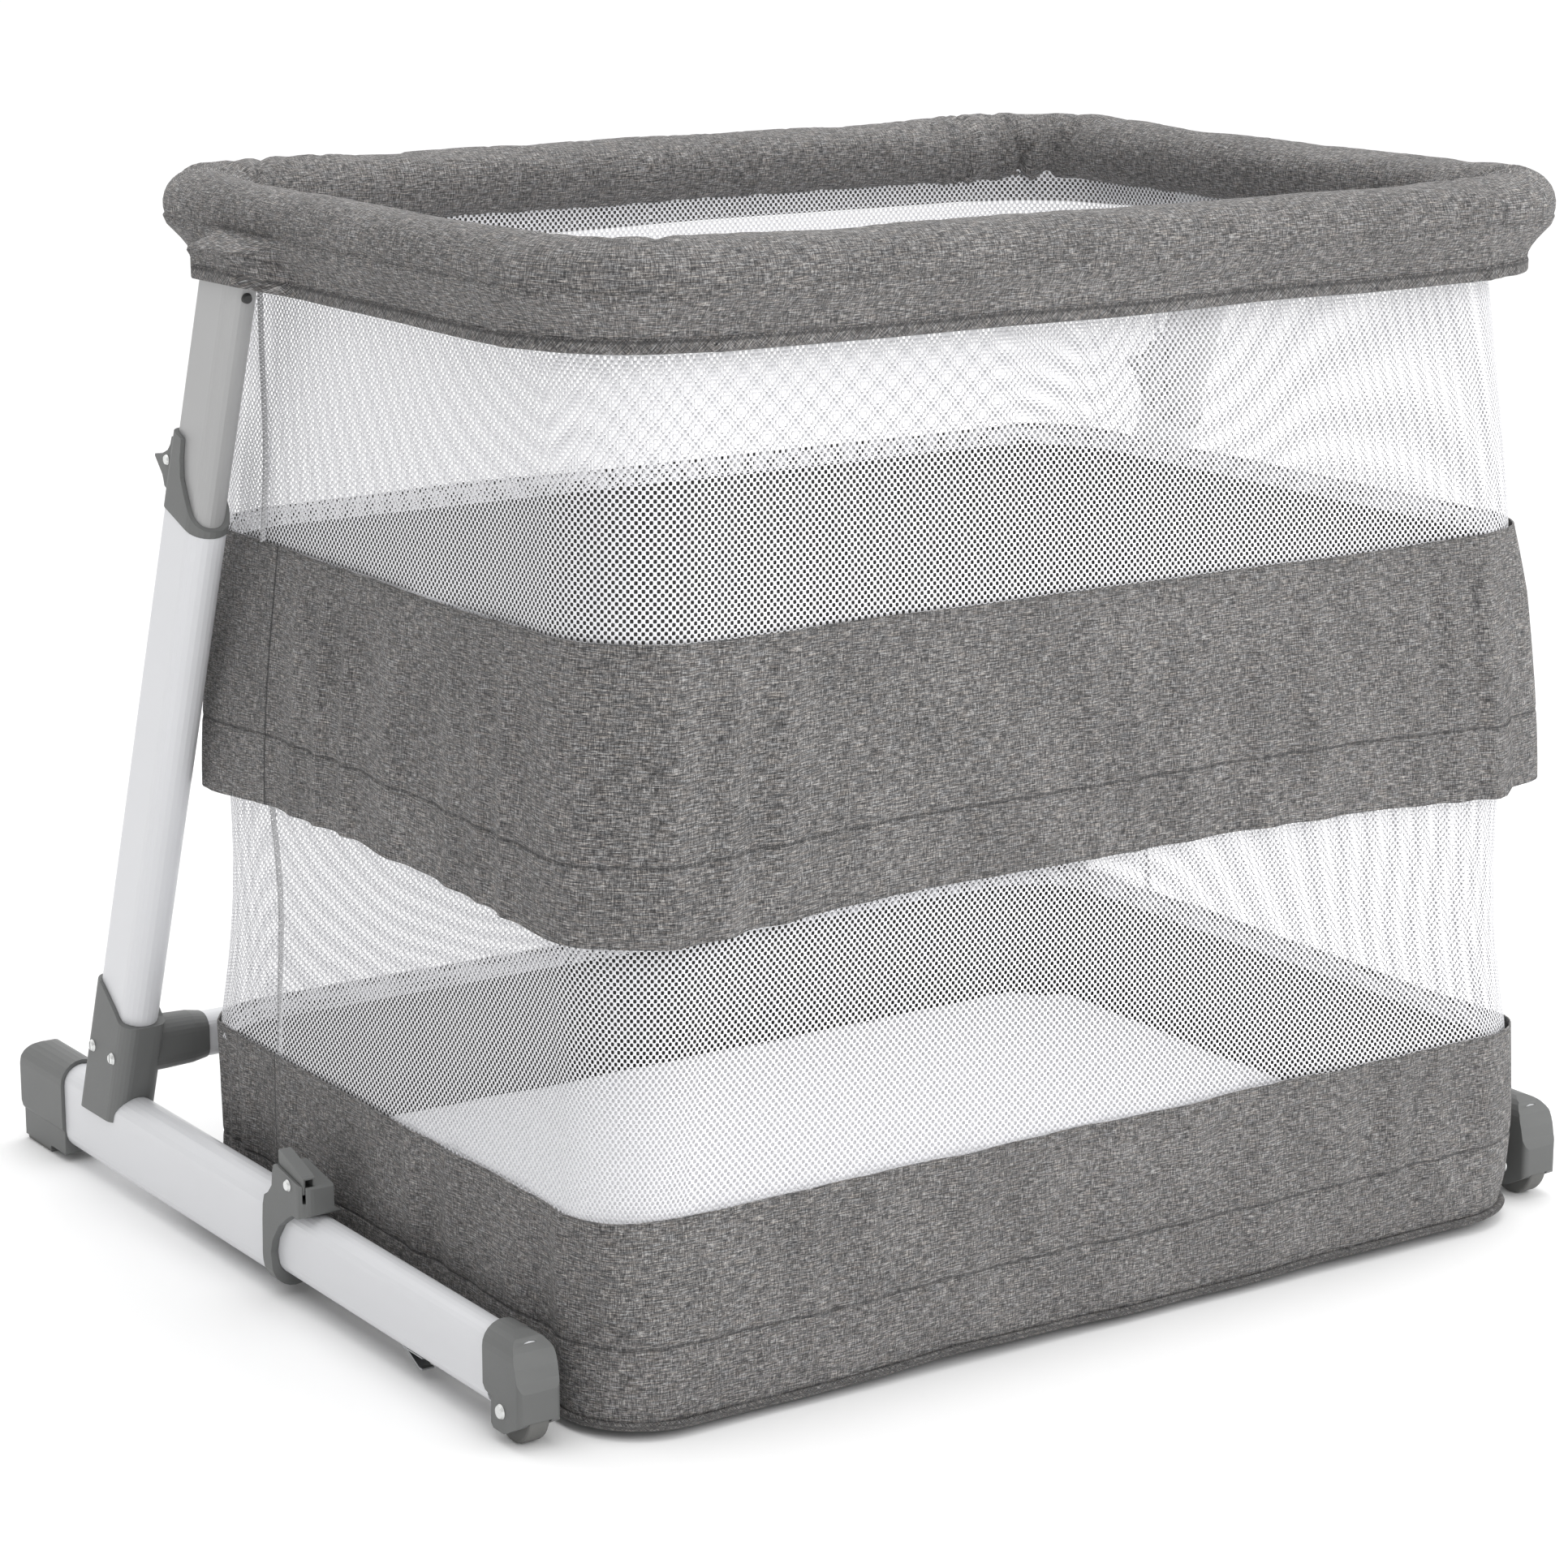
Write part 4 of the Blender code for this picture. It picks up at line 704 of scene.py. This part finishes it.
def build_mid_band(painted_shade_lining):
    """The loose middle band, which stands out from the net towards its lower edge."""
    top, low = MID_HIGH.z, MID_LOW.z + 0.004
    seam = low + MID_SEAM_UP

    def half_at(z):
        t = (top - z) / (top - low)
        spring = 1.0 - (1.0 - t) ** 1.7
        return [n + MID_PROUD + (m - n - MID_PROUD) * spring for n, m in zip(NET_HALF, MID_HALF)]

    above_seam = 20
    heights = band_heights(top, seam, low, above_seam, 10)
    rows = [(*half_at(z), NET_CORNER + 0.0030, z, BASKET_Y) for z in heights]

    def shape(x, y, z, row, nx, ny, s):
        t = (top - z) / (top - low)
        loose = 0.35 + 0.65 * near_corner(x, y, MID_HALF, 0.30)
        depth = (0.0010 + 0.0052 * t) * loose
        out = depth * ripple(x, y, z, 81.0, 13.0, 1.5) + 0.55 * depth * ripple(x, y, z, 85.0, 36.0, 2.0)
        out += 0.0120 * loose * folds(s, 0.058, 7.0) * min(1.0, 3.0 * t + 0.20) * (1.0 - 0.35 * t)
        out -= seam_dent(row, above_seam, 0.0009)
        sag = near_corner(x, y, MID_HALF, 0.150)
        up = -0.0120 * t * sag * (1.0 if nx < 0.3 else 0.5)
        up += (0.0030 - 0.0012 * t) * ripple(x, y, 0, 88.0, 7.0, 1.0)
        return out, up

    joins = end_joins([n + MID_PROUD for n in NET_HALF], NET_CORNER + 0.0030, SEAM_Y - 0.025)
    band = cloth_grid("mid_cloth", rows,
                      heather("mid_band_cloth", seams=(-(top - seam) * 1.003,), uprights=joins), shape)
    thicken(band, CLOTH_THICK, painted_shade_lining)
    blend_wall(band)
    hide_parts("mid_band")


def build_base_band(painted_shade_lining):
    """The basket's base wall with its stitched seam, and the piping round its foot."""
    top, low = BAND_HIGH.z + 0.002, PIPE_LOW.z + 0.004
    seam = low + BASE_SEAM_UP
    above_seam = 14
    heights = band_heights(top, seam, low, above_seam, 12)
    rows = [(BAND_HALF[0], BAND_HALF[1], BAND_CORNER, z, BASKET_Y) for z in heights]

    def shape(x, y, z, row, nx, ny, s):
        t = (top - z) / (top - low)
        bunched = math.exp(-((y - BAND_HIGH.y + 0.050) / 0.060) ** 2) if nx < -0.5 else 0.0
        depth = (0.0012 + 0.0035 * math.sin(math.pi * t)) * (1.0 + 0.8 * bunched)
        out = depth * ripple(x, y, z, 91.0, 12.0, 5.0) + 0.7 * depth * ripple(x, y, z, 95.0, 30.0, 9.0)
        out += 0.0110 * bunched * (folds(s, 0.030, 3.0) + 0.20) * (0.30 + 0.70 * t)
        out += 0.0065 * folds(s, 0.070, 11.0) * math.sin(math.pi * min(1.0, t + 0.15))
        out -= 0.004 * max(0.0, t - 0.85) / 0.15
        out -= seam_dent(row, above_seam, 0.0008)
        front = min(1.0, max(0.0, -ny)) ** 2
        up = (1.0 - t) * (0.004 * front + 0.0022 * ripple(x, y, 0, 93.0, 8.0, 1.0))
        up += t * base_wave(x, y)
        return out, up

    joins = end_joins(BAND_HALF, BAND_CORNER, SEAM_Y)
    band = cloth_grid("base_cloth", rows,
                      heather("base_band_cloth", seams=(-(top - seam),), uprights=joins), shape)
    thicken(band, CLOTH_THICK, painted_shade_lining)
    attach(band, "frame")
    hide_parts("base_band")

    radius = (PIPE_HIGH.z - PIPE_LOW.z) / 2
    centre = (PIPE_HIGH.z + PIPE_LOW.z) / 2
    rows = []
    for k in range(10):
        a = -2 * math.pi * k / 10
        rows.append((BAND_HALF[0] - 0.002 + radius * math.cos(a), BAND_HALF[1] - 0.002 + radius * math.cos(a),
                     BAND_CORNER, centre + radius * math.sin(a), BASKET_Y))

    def pipe_shape(x, y, z, row, nx, ny, s):
        return 0.0018 * ripple(x, y, 0, 91.0, 12.0, 1.0), base_wave(x, y)

    pipe = cloth_grid("base_piping_cloth", rows, heather("piping_cloth", turn=math.radians(45), tone=0.7),
                      pipe_shape, shut=True)
    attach(pipe, "frame")
    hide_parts("base_piping")


def build_seam_tapes():
    """The nets' upright joins: a folded white tape, towards the back of each end wall."""
    tape = net_cloth("tape_cloth", 0.45, (0.0040, 0.0030), 0.62)
    for letter, side in (("L", -1), ("R", 1)):
        for part, high, low in (("upper", HEM_LOW.z + 0.012, MID_HIGH.z),
                                ("lower", MID_LOW.z + 0.010, BAND_HIGH.z - 0.004)):
            verts, faces, uvs = [], [], []
            heights = spread(high, low, 16)
            section = [(-0.0040, 0.0006), (-0.0028, 0.0014), (-0.0010, 0.0018), (0.0004, 0.0032),
                       (0.0012, 0.0018), (0.0028, 0.0014), (0.0040, 0.0006)]
            for z in heights:
                t = (z - low) / (high - low)
                pull = waist(z, high, low, 0.0035 if part == "upper" else 0.0050)
                for across, out in section:
                    y = SEAM_Y + across + 0.0015 * math.sin(z * 37.0)
                    lean = 0.003 * t * t if part == "upper" else 0.0
                    x = side * (NET_HALF[0] + pull + out + 0.0010 - lean)
                    verts.append((x, y, z))
            wide = len(section)
            for r in range(len(heights) - 1):
                for c in range(wide - 1):
                    quad = (r * wide + c, (r + 1) * wide + c, (r + 1) * wide + c + 1, r * wide + c + 1)
                    faces.append(quad if side < 0 else quad[::-1])
                    corners = [(section[c][0], heights[r]), (section[c][0], heights[r + 1]),
                               (section[c + 1][0], heights[r + 1]), (section[c + 1][0], heights[r])]
                    uvs += corners if side < 0 else corners[::-1]
            piece = cloth_mesh(f"{part}_tape_{letter}", verts, faces, uvs, tape)
            blend_wall(piece)


def puff_up(piece, sewn_below):
    """Remeshes the cushion evenly and swells its cover as cloth, held below the given height."""
    remesh = piece.modifiers.new("even", "REMESH")
    remesh.mode = "VOXEL"
    remesh.voxel_size = 0.006
    remesh.use_smooth_shade = True
    bake_modifiers(piece)
    held = [1.0 if v.co.z < sewn_below else 0.0 for v in piece.data.vertices]
    drape(piece, held, growth=0.010, cap=MOST_SWELL, pressure=4.0, frames=20)


def flat_uv(piece):
    """Lays the cloth layer out from above, in metres, and shades smooth."""
    mesh = piece.data
    layer = mesh.uv_layers.get("cloth") or mesh.uv_layers.new(name="cloth")
    at = np.empty(len(mesh.vertices) * 3, np.float32)
    mesh.vertices.foreach_get("co", at)
    used = np.empty(len(mesh.loops), np.int32)
    mesh.loops.foreach_get("vertex_index", used)
    at = at.reshape(-1, 3)[used]
    layer.data.foreach_set("uv", np.stack([at[:, 0], at[:, 1] + at[:, 2]], 1).ravel())
    mesh.polygons.foreach_set("use_smooth", np.ones(len(mesh.polygons), bool))


def cap_cushion(bm, outline, top):
    """Closes an outline with smaller and smaller copies of itself; the top one is crowned."""
    before = outline
    for k in range(1, CAP_RINGS):
        scale = 1.0 - k / CAP_RINGS
        inner = []
        for v in outline:
            x, y = v.co.x * scale, BASKET_Y + (v.co.y - BASKET_Y) * scale
            rise = 0.0040 * (1 - scale * scale) + 0.0010 * ripple(x, y, 0, 115.0, 11.0, 1.0)
            inner.append(bm.verts.new((x, y, v.co.z + (rise if top else 0.0))))
        for c in range(len(outline)):
            d = (c + 1) % len(outline)
            quad = (before[c], before[d], inner[d], inner[c])
            bm.faces.new(quad if top else quad[::-1])
        before = inner
    bm.faces.new(before if top else before[::-1])


def build_mattress():
    """A thin foam mattress in a fitted cover, crowned on top and pulled in at its top and bottom edges."""
    half = ((BED_HIGH.x - BED_LOW.x) / 2, (BED_HIGH.y - BED_LOW.y) / 2)
    thick = BED_HIGH.z - BED_LOW.z
    rings = [(0.030, 0.0), (0.010, 0.0008), (0.002, 0.006), (0.0, thick * 0.35), (0.0, thick * 0.62),
             (0.0025, thick * 0.80), (0.0075, thick * 0.90), (0.016, thick * 0.965), (0.030, thick)]
    bm = bmesh.new()
    outlines = []
    for step, (pull, up) in enumerate(rings):
        points, _ = plan_ring(half[0] - pull, half[1] - pull, max(0.012, BED_CORNER - pull), BASKET_Y)
        outline = []
        for x, y in points:
            wave = 0.0010 * ripple(x, y, 0, 111.0, 14.0, 1.0) if 2 < step else 0.0
            outline.append(bm.verts.new((x, y, BED_LOW.z + up + wave)))
        outlines.append(outline)
    for lower, upper in zip(outlines, outlines[1:]):
        for c in range(len(lower)):
            d = (c + 1) % len(lower)
            bm.faces.new((lower[c], lower[d], upper[d], upper[c]))
    cap_cushion(bm, outlines[0], top=False)
    cap_cushion(bm, outlines[-1], top=True)
    mesh = bpy.data.meshes.new("mattress_cover")
    bm.normal_update()
    bm.to_mesh(mesh)
    bm.free()
    mesh.materials.append(bed_cloth())
    bed = bpy.data.objects.new("mattress_cover", mesh)
    bpy.context.scene.collection.objects.link(bed)
    puff_up(bed, BED_LOW.z + 0.008)
    flat_uv(bed)
    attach(bed, "mattress")
    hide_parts("mattress")


# ---- studio -------------------------------------------------------------------------------------------
FLOOR_REACH = 30.0
CAMERA_PLACE = (-1.8791, -2.7994, 1.1714)
CAMERA_DOWN, CAMERA_RIGHT = 13.887, 33.76   # degrees below level, and to the right of +Y
CAMERA_LENS = 96.87
DIM_LEFT, BRIGHT_RIGHT = 0.46, 1.24         # strength of the world's light


def area_light(name, place, target, size, power):
    data = bpy.data.lights.new(name, "AREA")
    data.shape = "RECTANGLE"
    data.size, data.size_y = size
    data.energy = power
    lamp = bpy.data.objects.new(name, data)
    lamp.location = place
    lamp.rotation_euler = (Vector(target) - Vector(place)).to_track_quat("-Z", "Y").to_euler()
    bpy.context.scene.collection.objects.link(lamp)


def build_studio():
    mesh = bpy.data.meshes.new("studio_floor")
    corners = [(-FLOOR_REACH, -FLOOR_REACH, 0), (FLOOR_REACH, -FLOOR_REACH, 0),
               (FLOOR_REACH, FLOOR_REACH, 0), (-FLOOR_REACH, FLOOR_REACH, 0)]
    mesh.from_pydata(corners, [], [(0, 1, 2, 3)])
    floor = bpy.data.objects.new("studio_floor", mesh)
    bpy.context.scene.collection.objects.link(floor)
    n = Nodes("studio_floor")
    mesh.materials.append(n.finish((0.97, 0.97, 0.97, 1), 0.9))
    n.shader.inputs["Specular IOR Level"].default_value = 0.0

    world = bpy.data.worlds.new("studio")
    world.use_nodes = True
    # White, falling to less than half as bright towards -X, as if a grey screen stood there.
    tree = world.node_tree
    split = tree.nodes.new("ShaderNodeSeparateXYZ")
    shade = tree.nodes.new("ShaderNodeMapRange")
    shade.interpolation_type = "SMOOTHSTEP"
    tree.links.new(tree.nodes.new("ShaderNodeTexCoord").outputs["Generated"], split.inputs[0])
    tree.links.new(split.outputs[0], shade.inputs[0])
    for socket, value in zip(list(shade.inputs)[1:5], (-0.90, -0.10, DIM_LEFT, BRIGHT_RIGHT)):
        socket.default_value = value
    tree.links.new(shade.outputs[0], tree.nodes["Background"].inputs[1])
    tree.nodes["Background"].inputs[0].default_value = (1, 1, 1, 1)
    bpy.context.scene.world = world
    target = (0, 0, 0.4)
    area_light("top_light", (0.2, 0.1, 3.6), target, (3.0, 3.0), 40)
    area_light("key_light", (-0.2, -3.6, 2.2), target, (1.2, 1.2), 24)
    area_light("side_light", (2.8, -2.2, 1.9), target, (1.6, 2.0), 10)

    lens = bpy.data.cameras.new("camera")
    lens.sensor_width = 36.0
    lens.lens = CAMERA_LENS
    lens.clip_end = 100
    camera = bpy.data.objects.new("camera", lens)
    camera.location = CAMERA_PLACE
    camera.rotation_euler = (math.radians(90 - CAMERA_DOWN), 0, math.radians(-CAMERA_RIGHT))
    bpy.context.scene.collection.objects.link(camera)
    bpy.context.scene.camera = camera
    bpy.context.scene.view_settings.view_transform = "Standard"


paint_frame()
build_rim()
build_nets()
# The bands' inner side: the same heather at 30 % tone, a darker copy as painted shade inside the basket.
painted_shade_lining_cloth = heather("band_lining_painted_shade", tone=0.30)
build_mid_band(painted_shade_lining_cloth)
build_base_band(painted_shade_lining_cloth)
build_seam_tapes()
build_mattress()
build_studio()
